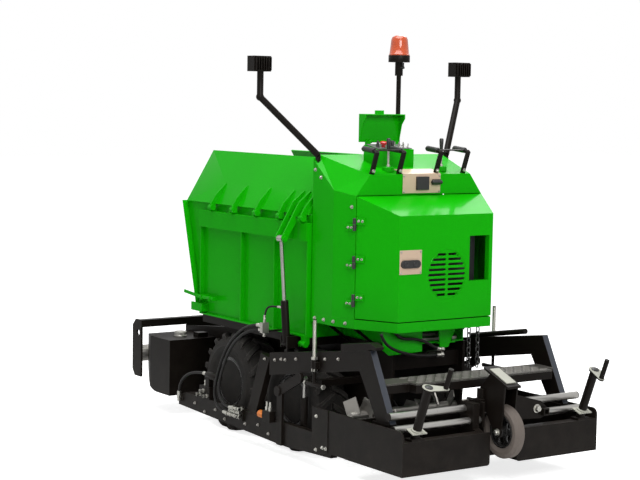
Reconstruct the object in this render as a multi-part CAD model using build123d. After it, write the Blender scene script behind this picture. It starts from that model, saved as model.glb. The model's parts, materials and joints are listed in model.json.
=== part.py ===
from build123d import *
import os
from math import cos, hypot, radians, sin, sqrt

# Layout frame in millimetres: x = 0 at the rear face of the hood, +X forward, +Y left, +Z up.
# All pieces move along X at the end, so that the origin lies under the middle of the machine.

# Clearances
RUN_GAP = 0.3
MOVE_GAP = 6.0

# Wheels and hub motors
TYRE_R = 292.0
TYRE_WIDTH = 212.0
RIM_R = 140.0
RIM_WIDTH = 176.0
RIM_WALL = 12.0
RIM_DISC_T = 14.0
RIM_DISC_OFFSET = 14.0
HUB_R = 62.0
SPINDLE_R = 30.0
MOTOR_R = 78.0
MOTOR_LENGTH = 76.0
FRONT_WHEEL_X = 1410.0
WHEEL_BASE = 670.0
WHEEL_OUTER_Y = 500.0
BEAD_INSET = 18.0
SHOULDER = 8.0
TREAD_LUGS = 14
TREAD_LUG_H = 24.0
TREAD_LUG_W = 32.0
TREAD_SWEEP = 74.0
RIM_HOLES = 6
RIM_HOLE_R = 20.0
RIM_HOLE_AT = 95.0
HUB_CAP = 12.0

# Chassis
RAIL_Y = 250.0
RAIL_T = 16.0
RAIL_REAR_X = 130.0
RAIL_FRONT_X = 2330.0
RAIL_LOW_Z = 230.0
RAIL_TAIL_Z = 480.0
RAIL_BELLY_X = 420.0
RAIL_NECK_Z = 560.0
RAIL_NOSE_LOW_Z = 330.0
RAIL_NOSE_TOP_Z = 500.0
SIDE_BEAM = 50.0
CROSS_W = 80.0
CROSS_LOW_Z = 520.0
STRUT_X = (260.0, 520.0)
STRUT_T = 12.0

# Hopper
HOPPER_Y = 460.0
HOPPER_T = 8.0
HOPPER_REAR_X = 607.0
HOPPER_FRONT_LOW_X = 1770.0
HOPPER_FRONT_TOP_X = 1962.0
HOPPER_LOW_Z = 657.0
HOPPER_TOP_Z = 1336.0
CHANNEL_D = 34.0
CHANNEL_LOW_Z = 1190.0
CHANNEL_TOP_Z = 1289.0
RIB_X = (940.0, 1295.0)
RIB_D = 26.0
RIB_T = 12.0
FLANGE_T = 9.0
LATCH_Z = 766.0
LATCH_R = 11.0
CONVEYOR_HALF = 215.0
DROP_GAP = 30.0
DROP_LEFT_Y = (80.0, 300.0, 340.0)
DROP_RIGHT_Y = (-34.0, -45.0, -100.0, -157.0)

# Hopper wings and their cylinders
WING_HINGE_Y = 500.0
WING_HINGE_Z = 1315.0
WING_PIN_R = 9.0
WING_LOW_Y = 476.0
WING_LOW_Z = 1336.0
WING_TILT = 31.2
WING_LENGTH = 358.0
WING_T = 8.0
WING_CORNER_X = 56.0
WING_CORNER = 103.0
STRAP_LENGTH = 140.0
LUG_X = 735.0
LUG_SPREAD = 30.0
LUG_T = 10.0
LUG_PIN_Y = 575.0
LUG_PIN_Z = 1200.0
CYL_BASE_Y = 530.0
CYL_BASE_Z = 610.0
CYL_R = 22.0
CYL_ROD_R = 11.0
CYL_BARREL_LENGTH = 245.0
CYL_EYE_R = 19.0

# Front gate of the hopper
GATE_T = 8.0
GATE_HINGE_Z = 700.0
GATE_PIN_R = 12.0

# Hood
HOOD_T = 10.0
HOOD_FRONT_X = 598.0
HOOD_FOLD_X = 400.0
HOOD_SIDE_Y = 462.0
HOOD_SEAM_X = 241.0
HOOD_SEAM_Y = 430.0
HOOD_REAR_Y = 318.0
HOOD_LOW_Z = 748.0
HOOD_BAND = 52.0
HOOD_FRONT_Z = 1640.0
HOOD_FOLD_Z = 1483.0
HOOD_SEAM_Z = 1459.0
HOOD_REAR_Z = 1366.0
DECK_REAR_X = 237.0
DECK_REAR_Y = 344.0
DECK_REAR_RISE = 111.0
DECK_REAR_Z = HOOD_SEAM_Z + DECK_REAR_RISE
DECK_FRONT_Y = 425.0
DECK_FRONT_RISE = 25.0
DECK_FRONT_Z = HOOD_FRONT_Z + DECK_FRONT_RISE
DOOR_HINGE_R = 9.0
WINDOW_Y = (-295.0, -157.0)
WINDOW_Z = (1003.0, 1248.0)
WINDOW_REVEAL = 34.0
WINDOW_EDGE = 5.0
VENT_Y = -5.0
VENT_Z = 1046.0
VENT_R = 126.0
VENT_RIM = 8.0
VENT_PITCH = 27.0
VENT_SLOT = 13.0
VENT_WEB = 14.0

# Engine, a plain block behind the door's window
ENGINE_X = (70.0, 520.0)
ENGINE_HALF = 250.0
ENGINE_TOP_Z = 1260.0

# Tow arms, which carry the screed
ARM_IN_Y = 565.0
ARM_T = 40.0
TOW_X = 1758.0
TOW_Z = 150.0
TOW_PIN_R = 18.0
TOW_DROP = 40.0
BAR_TOP_Z = 190.0
BAR_REAR_X = 180.0
ARCH_FRONT_X = 790.0
ARCH_FRONT_LOW_Z = 435.0
ARCH_FRONT_TOP_Z = 560.0
ARCH_REAR_X = -148.0
ARCH_REAR_Z = 699.0
ARCH_KNEE = (-60.0, 582.0)
LEG_FOOT_X = (-330.0, -215.0)
VALVE_X = 1430.0
COIL_X = 725.0
SPINDLE_X = 325.0
SPINDLE_LOW_Z = 440.0
SPINDLE_TOP_Z = 803.0
SPINDLE_ROD_R = 9.0
LINK_LOW = (682.0, 362.0)
LINK_HIGH = (468.0, 468.0)
LINK_W = 27.0
LINK_T = 14.0

# Screed
SCREED_REAR_X = -500.0
SCREED_END_Y = 655.0
SCREED_LOW_Z = 118.0
SCREED_TOP_Z = 345.0
SCREED_PLATE = 10.0
SCREED_FOOT_Z = 346.0
CHEEK_FRONT_X = 290.0
CHEEK_RECESS_X = (-10.0, 145.0)
CHEEK_RECESS = 4.0
CHEEK_CORNER = 34.0
GUIDE_R = 20.0


# Basic shapes
def block(x0, x1, y0, y1, z0, z1):
    size = Box(x1 - x0, y1 - y0, z1 - z0)
    return Pos((x0 + x1) / 2, (y0 + y1) / 2, (z0 + z1) / 2) * size


def slab(points, thick):
    """A flat sheet with its outer face through the points, thickened along the given vector."""
    face = Face(Wire.make_polygon([Vector(*p) for p in points], close=True))
    return Solid.extrude(face, Vector(*thick))


def prism_y(points, y0, y1):
    return slab([(x, y0, z) for x, z in points], (0, y1 - y0, 0))


def prism_x(points, x0, x1):
    return slab([(x0, y, z) for y, z in points], (x1 - x0, 0, 0))


def prism_z(points, z0, z1):
    return slab([(x, y, z0) for x, y in points], (0, 0, z1 - z0))


def rod(start, end, radius):
    line = Vector(*end) - Vector(*start)
    return Solid.make_cylinder(radius, line.length, Plane(origin=start, z_dir=line))


def panel(points, inside, thick):
    """A flat sheet through the points, thickened towards the inside point."""
    corner = Vector(*points[0])
    normal = (Vector(*points[1]) - corner).cross(Vector(*points[2]) - corner).normalized()
    if normal.dot(Vector(*inside) - corner) < 0:
        normal = normal * -1
    return slab(points, (normal * thick))


def joined(shapes):
    shapes = list(shapes)
    return shapes[0].fuse(*shapes[1:]).clean() if len(shapes) > 1 else shapes[0]


def mirrored(shape):
    if isinstance(shape, Compound) and shape.children:
        return Compound(children=[mirrored(child) for child in shape.children])
    return shape.mirror(Plane.XZ)


def flip(points):
    return [(x, -y, z) for x, y, z in points]


# Wheels
WHEEL_Y = WHEEL_OUTER_Y - TYRE_WIDTH / 2
WHEEL_X = {"front": FRONT_WHEEL_X, "rear": FRONT_WHEEL_X - WHEEL_BASE}


def turned(profile, x, y, z):
    """A ring turned about a line along Y through (x, y, z) from (radius, along) points."""
    face = Face(Wire.make_polygon([Vector(x + r, y + a, z) for r, a in profile], close=True))
    return Solid.revolve(face, 360, Axis((x, y, z), (0, 1, 0)))


def tyre_ring(tread_r, inset):
    """The tyre's turned outline about its own middle, with the sides moved in by the inset."""
    half = TYRE_WIDTH / 2
    bulge_r = (RIM_R + TYRE_R) / 2 + SHOULDER
    profile = [(RIM_R + RUN_GAP, BEAD_INSET - half), (bulge_r, inset - half),
               (tread_r, SHOULDER + inset - half)]
    profile += [(r, -a) for r, a in reversed(profile)]
    return turned(profile, 0, 0, 0)


def tyre(x):
    """Carcass with slanted lugs in two rows, the second half a step behind the first."""
    carcass_r = TYRE_R - TREAD_LUG_H
    edge, half = TREAD_LUG_W / 2, TYRE_WIDTH / 2
    outline = [(-edge, 0), (edge, 0), (TREAD_SWEEP + edge, half), (TREAD_SWEEP - edge, half)]
    lug = (prism_z(outline, carcass_r - 2 * TREAD_LUG_H, TYRE_R) & tyre_ring(TYRE_R, 0)).solid()
    step = 360 / TREAD_LUGS
    pieces = [tyre_ring(carcass_r, 3)]
    for i in range(TREAD_LUGS):
        pieces.append(Rot(0, i * step, 0) * lug)
        pieces.append(Rot(0, (i + 0.5) * step, 0) * mirrored(lug))
    return Pos(x, WHEEL_Y, TYRE_R) * joined(pieces)


def rim(x):
    """Dished rim with a ring of round holes in its disc."""
    half = RIM_WIDTH / 2
    inner = RIM_R - RIM_WALL
    disc_in = RIM_DISC_OFFSET
    disc_out = RIM_DISC_OFFSET + RIM_DISC_T
    hub_in = RAIL_Y + MOTOR_LENGTH + MOVE_GAP - WHEEL_Y
    bore = SPINDLE_R + RUN_GAP
    profile = [
        (RIM_R, -half), (RIM_R, half), (inner, half), (inner, disc_out), (0, disc_out + HUB_CAP),
        (0, disc_out), (bore, disc_out), (bore, hub_in), (HUB_R, hub_in), (HUB_R, disc_in),
        (inner, disc_in), (inner, -half),
    ]
    body = turned(profile, x, WHEEL_Y, TYRE_R)
    for i in range(RIM_HOLES):
        turn = radians(360 / RIM_HOLES * i)
        hole_x, hole_z = x + RIM_HOLE_AT * cos(turn), TYRE_R + RIM_HOLE_AT * sin(turn)
        body -= rod((hole_x, WHEEL_Y, hole_z), (hole_x, WHEEL_Y + half, hole_z), RIM_HOLE_R)
    return body


def axle(x):
    """The two hub motors of one axle, each with its spindle."""
    motor_end = RAIL_Y + MOTOR_LENGTH
    spindle_end = WHEEL_Y + RIM_DISC_OFFSET + RIM_DISC_T - RUN_GAP
    motor = rod((x, RAIL_Y, TYRE_R), (x, motor_end, TYRE_R), MOTOR_R)
    spindle = rod((x, motor_end, TYRE_R), (x, spindle_end, TYRE_R), SPINDLE_R)
    left = joined([motor, spindle])
    return Compound(children=[left, mirrored(left)])


# Chassis
SIDE_BEAM_TOP = HOPPER_LOW_Z
SIDE_BEAM_LOW = HOPPER_LOW_Z - SIDE_BEAM


def rail_outline():
    foot = TOW_Z - TOW_DROP
    return [
        (RAIL_REAR_X, RAIL_TAIL_Z), (RAIL_REAR_X, SIDE_BEAM_TOP), (HOPPER_FRONT_LOW_X, SIDE_BEAM_TOP),
        (HOPPER_FRONT_LOW_X, RAIL_NECK_Z), (RAIL_FRONT_X, RAIL_NOSE_TOP_Z), (RAIL_FRONT_X, RAIL_NOSE_LOW_Z),
        (TOW_X + 90, foot), (TOW_X - 60, foot), (TOW_X - 110, RAIL_LOW_Z),
        (RAIL_BELLY_X, RAIL_LOW_Z), (RAIL_BELLY_X - 120, RAIL_TAIL_Z - 60),
    ]


def hood_struts():
    """Slanted flat bars from the left rail up to the hood's tray."""
    foot, top = HOPPER_LOW_Z - 20, HOOD_LOW_Z - RUN_GAP
    outline = [(RAIL_Y - 8, foot), (RAIL_Y + 14, foot), (HOOD_SEAM_Y - 10, top), (HOOD_SEAM_Y - 40, top)]
    return [prism_x(outline, x, x + STRUT_T) for x in STRUT_X]


def cylinder_ears():
    """Two cheeks on the left side beam with the pin of the wing's cylinder."""
    low, high = HOPPER_Y - 10, CYL_BASE_Y + CYL_EYE_R
    ends = (LUG_X - LUG_SPREAD, LUG_X + LUG_SPREAD)
    pieces = [rod((ends[0], CYL_BASE_Y, CYL_BASE_Z), (ends[1], CYL_BASE_Y, CYL_BASE_Z), CYL_ROD_R)]
    for x in ends:
        pieces.append(block(x - LUG_T / 2, x + LUG_T / 2, low, high, CYL_BASE_Z - CYL_EYE_R, SIDE_BEAM_TOP))
    return pieces


def lift_bracket():
    """Beam out from the left rail and the plate that the lift cylinder's upper eye hangs beside."""
    plate_out = LIFT_Y - LIFT_EYE_HALF - 1.0
    plate_in = plate_out - LIFT_PLATE_T
    z0, z1 = LIFT_TOP_Z - LIFT_EYE_R, LIFT_TOP_Z + LIFT_EYE_R
    beam = block(LIFT_BEAM_X, LIFT_BEAM_X + LIFT_BEAM_W, RAIL_Y - 1, plate_out, z0, z1)
    return [beam, block(LIFT_BEAM_X, LIFT_X + LIFT_EYE_R, plate_in, plate_out, z0, z1)]


def side_frame():
    """The left rail, the beam under the hopper's side wall and the arms between them."""
    inner = RAIL_Y - RAIL_T
    pieces = [prism_y(rail_outline(), inner, RAIL_Y)]
    x0, x1 = HOPPER_REAR_X, HOPPER_FRONT_LOW_X
    pieces.append(block(x0, x1, HOPPER_Y - SIDE_BEAM, HOPPER_Y, SIDE_BEAM_LOW, SIDE_BEAM_TOP))
    for x in (x0 + SIDE_BEAM, (x0 + x1) / 2, x1 - SIDE_BEAM):
        pieces.append(block(x - 20, x + 20, inner + 1, HOPPER_Y - 1, SIDE_BEAM_LOW, SIDE_BEAM_TOP))
    return pieces


def chassis_frame():
    left = side_frame() + hood_struts() + cylinder_ears() + lift_bracket() + auger_hanger()
    pieces = left + [mirrored(shape) for shape in left]
    inner = RAIL_Y - RAIL_T
    for x in (RAIL_REAR_X + CROSS_W, FRONT_WHEEL_X - WHEEL_BASE / 2, HOPPER_FRONT_LOW_X - CROSS_W):
        pieces.append(block(x - CROSS_W / 2, x + CROSS_W / 2, -inner - 1, inner + 1, CROSS_LOW_Z,
                            CROSS_LOW_Z + CROSS_W))
    tow_end = ARM_IN_Y - RUN_GAP
    pieces.append(rod((TOW_X, -tow_end, TOW_Z), (TOW_X, tow_end, TOW_Z), TOW_PIN_R + 12))
    tip = ARM_IN_Y + ARM_T + MOVE_GAP
    pieces.append(rod((TOW_X, -tip, TOW_Z), (TOW_X, tip, TOW_Z), TOW_PIN_R))
    return joined(pieces)


# Hopper
def hopper_front_x(z):
    slope = (HOPPER_FRONT_TOP_X - HOPPER_FRONT_LOW_X) / (HOPPER_TOP_Z - HOPPER_LOW_Z)
    return HOPPER_FRONT_LOW_X + (z - HOPPER_LOW_Z) * slope


NOTCH = (LUG_X - 2 * LUG_SPREAD, LUG_X + 2 * LUG_SPREAD)
KNUCKLE_X = [640.0, 865.0, 1112.0, 1363.0, 1608.0]
KNUCKLE_LENGTH = 24.0
EAR_T = 14.0


def hinge_ears():
    """Upright ears along the channel, each with a short pin for one strap of the wing."""
    y, z, low = WING_HINGE_Y, WING_HINGE_Z, CHANNEL_TOP_Z - 6
    outline = [(HOPPER_Y - 1, low), (HOPPER_Y + CHANNEL_D, low), (y + 16, low + 17), (y + 16, z + 3),
               (y + 6, z + 15), (y - 6, z + 15), (HOPPER_Y - 1, low + 17)]
    pieces = []
    for x in KNUCKLE_X:
        x0 = x + KNUCKLE_LENGTH / 2 + RUN_GAP
        pieces.append(prism_x(outline, x0, x0 + EAR_T))
        pieces.append(rod((x - KNUCKLE_LENGTH / 2, y, z), (x0 + EAR_T, y, z), WING_PIN_R))
    return pieces


def gate_latch():
    """Sliding bar with a flat handle, in two brackets low on the side wall."""
    y = HOPPER_Y + CHANNEL_D + MOVE_GAP
    x0, x1 = HOPPER_FRONT_LOW_X - 195, HOPPER_FRONT_LOW_X - 30
    z = LATCH_Z
    pieces = [rod((x0, y, z), (x1, y, z), LATCH_R)]
    for x in (x0 + 25, x1 - 40):
        pieces.append(block(x, x + RIB_T, HOPPER_Y - 1, y + LATCH_R + 4, z - 15, z + 15))
    handle = [(x1 - 10, z - 10), (x1 - 10, z + 10), (x1 + 180, z + 24), (x1 + 180, z + 6)]
    pieces.append(prism_y(handle, y, y + 8))
    return pieces


def hopper_side():
    """The left wall with its channel, ribs, bottom flange and rear corner knuckle."""
    inner = HOPPER_Y - HOPPER_T
    x0, x1 = HOPPER_REAR_X, HOPPER_FRONT_LOW_X
    outline = [(x0, HOPPER_LOW_Z), (x1, HOPPER_LOW_Z), (HOPPER_FRONT_TOP_X, HOPPER_TOP_Z), (x0, HOPPER_TOP_Z)]
    pieces = [prism_y(outline, inner, HOPPER_Y)]
    for start, end in ((x0, NOTCH[0]), (NOTCH[1], x1)):
        pieces.append(block(start, end, HOPPER_Y - 1, HOPPER_Y + CHANNEL_D, CHANNEL_LOW_Z, CHANNEL_TOP_Z))
    rib_out = HOPPER_Y + RIB_D
    low = HOPPER_LOW_Z + 1
    for x in (x0, *RIB_X, x1 - RIB_T):
        pieces.append(block(x, x + RIB_T, HOPPER_Y - 1, rib_out, low, CHANNEL_LOW_Z + 1))
    pieces.append(block(x0, x1, HOPPER_Y - 1, rib_out, low, low + FLANGE_T))
    knuckle_z = SIDE_BEAM_LOW + RIB_T
    pieces.append(block(x0 + 5, x0 + 50, HOPPER_Y + RUN_GAP, rib_out, knuckle_z, low + FLANGE_T - 1))
    pieces.append(rod((x0, rib_out, knuckle_z), (x0 + 56, rib_out, knuckle_z), RIB_T + 4))
    return joined(pieces + hinge_ears() + gate_latch() + gate_bracket())


def hopper_rear_wall():
    inner = HOPPER_Y - HOPPER_T
    wall = block(HOPPER_REAR_X, HOPPER_REAR_X + HOPPER_T, -inner, inner, HOPPER_LOW_Z, HOOD_FRONT_Z)
    mouth = CONVEYOR_HALF + 15
    return wall - block(HOPPER_REAR_X - 1, HOPPER_REAR_X + HOPPER_T + 1, -mouth, mouth, HOPPER_LOW_Z - 1,
                        HOOD_LOW_Z)


def hopper_floor():
    """Floor plate and the two slopes that feed the conveyor."""
    inner = HOPPER_Y - HOPPER_T - RUN_GAP
    x0 = HOPPER_REAR_X + HOPPER_T + RUN_GAP
    plate = block(x0, HOPPER_FRONT_LOW_X, -inner, inner, HOPPER_LOW_Z, HOPPER_LOW_Z + HOPPER_T)
    sill = block(HOPPER_FRONT_LOW_X - HOPPER_T, HOPPER_FRONT_LOW_X, -inner, inner,
                 HOPPER_LOW_Z, GATE_HINGE_Z - 20)
    plate = joined([plate, sill])
    low = HOPPER_LOW_Z + HOPPER_T + RUN_GAP
    slope = prism_x([(inner, low), (inner, low + 160), (CONVEYOR_HALF + 15, low)], x0,
                    HOPPER_FRONT_LOW_X - HOPPER_T - RUN_GAP)
    return Compound(children=[plate, slope, mirrored(slope)])


def conveyor():
    """Slats on two chains, from the hopper's front to the tunnel's rear end."""
    low = HOPPER_LOW_Z + HOPPER_T + RUN_GAP
    high = low + 16
    x0 = RAIL_REAR_X + 20
    x1 = HOPPER_FRONT_LOW_X - 20
    pieces = []
    for side in (1, -1):
        y = side * (CONVEYOR_HALF - 30)
        pieces.append(block(x0, x1, y - 12, y + 12, low, high))
    count = 12
    for i in range(count):
        x = x0 + 20 + (x1 - x0 - 40) * i / (count - 1)
        pieces.append(block(x - 10, x + 10, -CONVEYOR_HALF, CONVEYOR_HALF, low, high))
    return joined(pieces)


def conveyor_tunnel():
    """Floor and cheeks under the hood, open at both ends, with two drop plates behind the rear end."""
    x1 = HOPPER_REAR_X - RUN_GAP
    half = CONVEYOR_HALF + 12
    low, top = HOPPER_LOW_Z, HOOD_LOW_Z - RUN_GAP
    rear = RAIL_REAR_X - DROP_GAP
    pieces = [block(RAIL_REAR_X, x1 + HOPPER_T, -half, half, low, low + HOPPER_T)]
    for side in (1, -1):
        inner, outer = sorted((side * half, side * (half + HOPPER_T)))
        pieces.append(block(RAIL_REAR_X, x1, inner, outer, low, HOOD_LOW_Z))
    pieces.append(block(rear, RAIL_REAR_X + 1, half, half + HOPPER_T, low, top))
    a, b, c, d = DROP_RIGHT_Y
    pieces.append(block(rear, RAIL_REAR_X + 1, d + 2, a - 2, low, low + HOPPER_T))
    right = [(a, top), (b, low - 22), (c, low - 22), (d, top)]
    a, b, c = DROP_LEFT_Y
    left = [(c, top), (c, low - 10), (b, low - 40), (a, low - 34), (a, top)]
    for outline in (left, right):
        pieces.append(prism_x(outline, rear - HOPPER_T + 1, rear + 1))
    return joined(pieces)


# Front gate
GATE_HINGE_X = hopper_front_x(GATE_HINGE_Z) + 30


def gate():
    """The front plate, which tips forward about the pins at its foot."""
    foot = GATE_HINGE_Z - 10
    gap = MOVE_GAP
    outline = [(hopper_front_x(foot) + gap, foot), (hopper_front_x(HOPPER_TOP_Z) + gap, HOPPER_TOP_Z),
               (hopper_front_x(HOPPER_TOP_Z) + gap + GATE_T, HOPPER_TOP_Z),
               (hopper_front_x(foot) + gap + GATE_T, foot)]
    half = HOPPER_Y + CHANNEL_D
    plate = prism_y(outline, -half, half)
    pieces = [plate]
    for side in (1, -1):
        low, high = sorted((side * (half - 60), side * half))
        lug = rod((GATE_HINGE_X, low, GATE_HINGE_Z), (GATE_HINGE_X, high, GATE_HINGE_Z), GATE_PIN_R + 10)
        pieces.append(lug)
    body = joined(pieces)
    for side in (1, -1):
        low, high = sorted((side * (half - 61), side * (half + 1)))
        body = body - rod((GATE_HINGE_X, low, GATE_HINGE_Z), (GATE_HINGE_X, high, GATE_HINGE_Z),
                          GATE_PIN_R + RUN_GAP)
    return body


def gate_bracket():
    """Arm on the side wall with the gate's pin."""
    half = HOPPER_Y + CHANNEL_D
    z0, z1 = GATE_HINGE_Z - 25, GATE_HINGE_Z + 25
    arm = block(HOPPER_FRONT_LOW_X - 30, GATE_HINGE_X + 22, half + RUN_GAP, half + 12, z0, z1)
    root = block(HOPPER_FRONT_LOW_X - 60, HOPPER_FRONT_LOW_X - 20, HOPPER_Y - 1, half + 12, z0, z1)
    pin = rod((GATE_HINGE_X, half - 58, GATE_HINGE_Z), (GATE_HINGE_X, half + 12, GATE_HINGE_Z), GATE_PIN_R)
    return [arm, root, pin]


# Wings
WING_DIR = (-sin(radians(WING_TILT)), cos(radians(WING_TILT)))
WING_OUT = (cos(radians(WING_TILT)), sin(radians(WING_TILT)))


def on_wing(along, out):
    y = WING_LOW_Y + WING_DIR[0] * along + WING_OUT[0] * out
    z = WING_LOW_Z + WING_DIR[1] * along + WING_OUT[1] * out
    return (y, z)


def wing():
    """The left side's folding plate with its hinge straps and the cylinder's lugs."""
    x0 = HOPPER_REAR_X + HOPPER_T + MOVE_GAP
    x1 = HOPPER_FRONT_TOP_X - 2 * MOVE_GAP
    face = [(x0, 0), (x1, 0), (x1, WING_LENGTH), (x0 + WING_CORNER_X, WING_LENGTH),
            (x0, WING_LENGTH - WING_CORNER)]
    pieces = [slab([(x, *on_wing(along, 0)) for x, along in face],
                   (0, -WING_OUT[0] * WING_T, -WING_OUT[1] * WING_T))]
    tip = STRAP_LENGTH
    strap = [on_wing(0, -1), on_wing(tip, -1), on_wing(tip, 5), on_wing(40, 30), on_wing(-20, 30),
             (WING_HINGE_Y + 12, WING_HINGE_Z - 6), (WING_HINGE_Y - 6, WING_HINGE_Z - 14)]
    for x in KNUCKLE_X:
        pieces.append(prism_x(strap, x - RIB_T / 2, x + RIB_T / 2))
        pieces.append(rod((x - KNUCKLE_LENGTH / 2, WING_HINGE_Y, WING_HINGE_Z),
                          (x + KNUCKLE_LENGTH / 2, WING_HINGE_Y, WING_HINGE_Z), 2 * WING_PIN_R))
    lug = [on_wing(0, -1), on_wing(tip, -1), on_wing(tip, 6), on_wing(50, 40),
           (LUG_PIN_Y + 20, LUG_PIN_Z + 8), (LUG_PIN_Y + 8, LUG_PIN_Z - 20),
           (LUG_PIN_Y - 10, LUG_PIN_Z - 18), (LUG_PIN_Y - 20, LUG_PIN_Z + 4)]
    for edge in (-1, 1):
        x = LUG_X + edge * LUG_SPREAD
        pieces.append(prism_x(lug, x - LUG_T / 2, x + LUG_T / 2))
        head = edge * (LUG_T / 2 + 8)
        pieces.append(rod((x, LUG_PIN_Y, LUG_PIN_Z), (x + head, LUG_PIN_Y, LUG_PIN_Z), CYL_ROD_R + 3))
    body = joined(pieces)
    return body - rod((x0 - 50, WING_HINGE_Y, WING_HINGE_Z), (x1 + 50, WING_HINGE_Y, WING_HINGE_Z),
                      WING_PIN_R + RUN_GAP)


def cylinder_line():
    return Vector(0, LUG_PIN_Y - CYL_BASE_Y, LUG_PIN_Z - CYL_BASE_Z).normalized()


EYE_HALF = LUG_SPREAD - LUG_T / 2 - 1.0


def wing_barrel():
    base = Vector(LUG_X, CYL_BASE_Y, CYL_BASE_Z)
    line = cylinder_line()
    eye = rod((LUG_X - EYE_HALF, CYL_BASE_Y, CYL_BASE_Z),
              (LUG_X + EYE_HALF, CYL_BASE_Y, CYL_BASE_Z), CYL_EYE_R)
    body = rod((base + line * 12), (base + line * CYL_BARREL_LENGTH), CYL_R)
    barrel = joined([eye, body])
    barrel -= rod((LUG_X - 40, CYL_BASE_Y, CYL_BASE_Z),
                  (LUG_X + 40, CYL_BASE_Y, CYL_BASE_Z), CYL_ROD_R + RUN_GAP)
    bore = rod((base + line * 60), (base + line * (CYL_BARREL_LENGTH + 1)),
               CYL_ROD_R + RUN_GAP)
    return barrel - bore


def wing_rod():
    base = Vector(LUG_X, CYL_BASE_Y, CYL_BASE_Z)
    top = Vector(LUG_X, LUG_PIN_Y, LUG_PIN_Z)
    line = cylinder_line()
    shaft = rod((base + line * 110), top, CYL_ROD_R)
    eye = rod((LUG_X - EYE_HALF, LUG_PIN_Y, LUG_PIN_Z), (LUG_X + EYE_HALF, LUG_PIN_Y, LUG_PIN_Z), CYL_EYE_R)
    return joined([shaft, eye])


# Hood
def hood_ring(z):
    """The left side's plan corners at one height, from front to rear."""
    return [(HOOD_FRONT_X, HOOD_SIDE_Y, z), (HOOD_FOLD_X, HOOD_SIDE_Y, z),
            (HOOD_SEAM_X, HOOD_SEAM_Y, z), (0.0, HOOD_REAR_Y, z)]


HOOD_BAND_Z = HOOD_LOW_Z + HOOD_BAND
HOOD_INSIDE = (300.0, 0.0, 1100.0)
EAVES = 12.0
ROOF_FOOT_Z = 1300.0
FRONT_TOP = (HOOD_FRONT_X, HOOD_SIDE_Y, HOOD_FRONT_Z)
FOLD_TOP = (HOOD_FOLD_X, HOOD_SIDE_Y, HOOD_FOLD_Z)
SEAM_TOP = (HOOD_SEAM_X, HOOD_SEAM_Y, HOOD_SEAM_Z)
REAR_TOP = (0.0, HOOD_REAR_Y, HOOD_REAR_Z)
DECK_REAR = (DECK_REAR_X, DECK_REAR_Y, DECK_REAR_Z)
DECK_FRONT = (HOOD_FRONT_X, DECK_FRONT_Y, DECK_FRONT_Z)


def hood_base():
    """Tray with an upright band round its edge."""
    ring = hood_ring(HOOD_LOW_Z)
    plan = [(x, y) for x, y, _ in ring] + [(x, -y) for x, y, _ in reversed(ring)]
    outer = prism_z(plan, HOOD_LOW_Z, HOOD_BAND_Z)
    inset = [(x + (HOOD_T if x < 1 else 0), y - (HOOD_T if y > 0 else -HOOD_T)) for x, y in plan]
    inner = prism_z([(x + (1 if x > HOOD_FOLD_X else 0), y) for x, y in inset],
                    HOOD_LOW_Z + HOOD_T, HOOD_BAND_Z + 1)
    return outer - inner


def eaves_z(x):
    """Height at which the roof's lower edge meets the side panels."""
    points = [(HOOD_SEAM_X, HOOD_SEAM_Z + 2), (HOOD_FOLD_X, HOOD_FOLD_Z - EAVES),
              (HOOD_FRONT_X, HOOD_FRONT_Z - EAVES)]
    (x0, z0), (x1, z1) = points[:2] if x < HOOD_FOLD_X else points[1:]
    return z0 + (z1 - z0) * (x - x0) / (x1 - x0)


def hood_side():
    front, fold, seam, _ = hood_ring(HOOD_BAND_Z)
    tops = [(x, y, eaves_z(x) - RUN_GAP) for x, y, _ in (front, fold, seam)]
    pieces = [panel([front, fold, tops[1], tops[0]], HOOD_INSIDE, HOOD_T),
              panel([fold, seam, tops[2], tops[1]], HOOD_INSIDE, HOOD_T)]
    return joined(pieces)


def roof_body(front, fold, seam, deck_rear, deck_front):
    """A closed body under the roof's facets, from the left side's corners."""
    foot = [(x, y, ROOF_FOOT_Z) for x, y, _ in (front, fold, seam)]
    left = [[front, fold, deck_front], [fold, deck_rear, deck_front], [fold, seam, deck_rear],
            [front, fold, foot[1], foot[0]], [fold, seam, foot[2], foot[1]]]
    middle = [[seam, deck_rear], [deck_rear, deck_front], [seam, foot[2]], foot]
    outlines = left + [flip(points) for points in left]
    outlines += [points + flip(points)[::-1] for points in middle]
    outlines.append([foot[0], front, deck_front] + flip([deck_front, front, foot[0]]))
    faces = [Face(Wire.make_polygon([Vector(*p) for p in points], close=True)) for points in outlines]
    return Solid(Shell(faces))


def hood_deck():
    """Roof facets from the side panels up to the flat deck."""
    t = HOOD_T
    outside = roof_body(FRONT_TOP, FOLD_TOP, SEAM_TOP, DECK_REAR, DECK_FRONT)
    fx, fy, fz = FRONT_TOP
    dx, dy, dz = DECK_FRONT
    inside = roof_body((fx + 1, fy - t, fz - t), (HOOD_FOLD_X, HOOD_SIDE_Y - t, HOOD_FOLD_Z - t),
                       (HOOD_SEAM_X + t, HOOD_SEAM_Y - t, HOOD_SEAM_Z - t),
                       (DECK_REAR_X + t, DECK_REAR_Y - t, DECK_REAR_Z - t), (dx + 1, dy - t, dz - t))
    edge = [(x, eaves_z(x)) for x in (HOOD_SEAM_X - 50, HOOD_SEAM_X, HOOD_FOLD_X, HOOD_FRONT_X + 50)]
    edge[0] = (edge[0][0], edge[1][1])
    below = prism_y(edge + [(HOOD_FRONT_X + 50, ROOF_FOOT_Z - 1), (HOOD_SEAM_X - 50, ROOF_FOOT_Z - 1)],
                    -HOOD_SIDE_Y - 50, HOOD_SIDE_Y + 50)
    return outside - inside - below


DOOR_HINGE = (HOOD_SEAM_X - 4.0, HOOD_SEAM_Y + 9.0)
DOOR_LOW_Z = HOOD_BAND_Z + MOVE_GAP
HINGE_Z = [903.0, 1107.0, 1309.0]
HINGE_LENGTH = 70.0
HINGE_LEAF = 60.0


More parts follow.
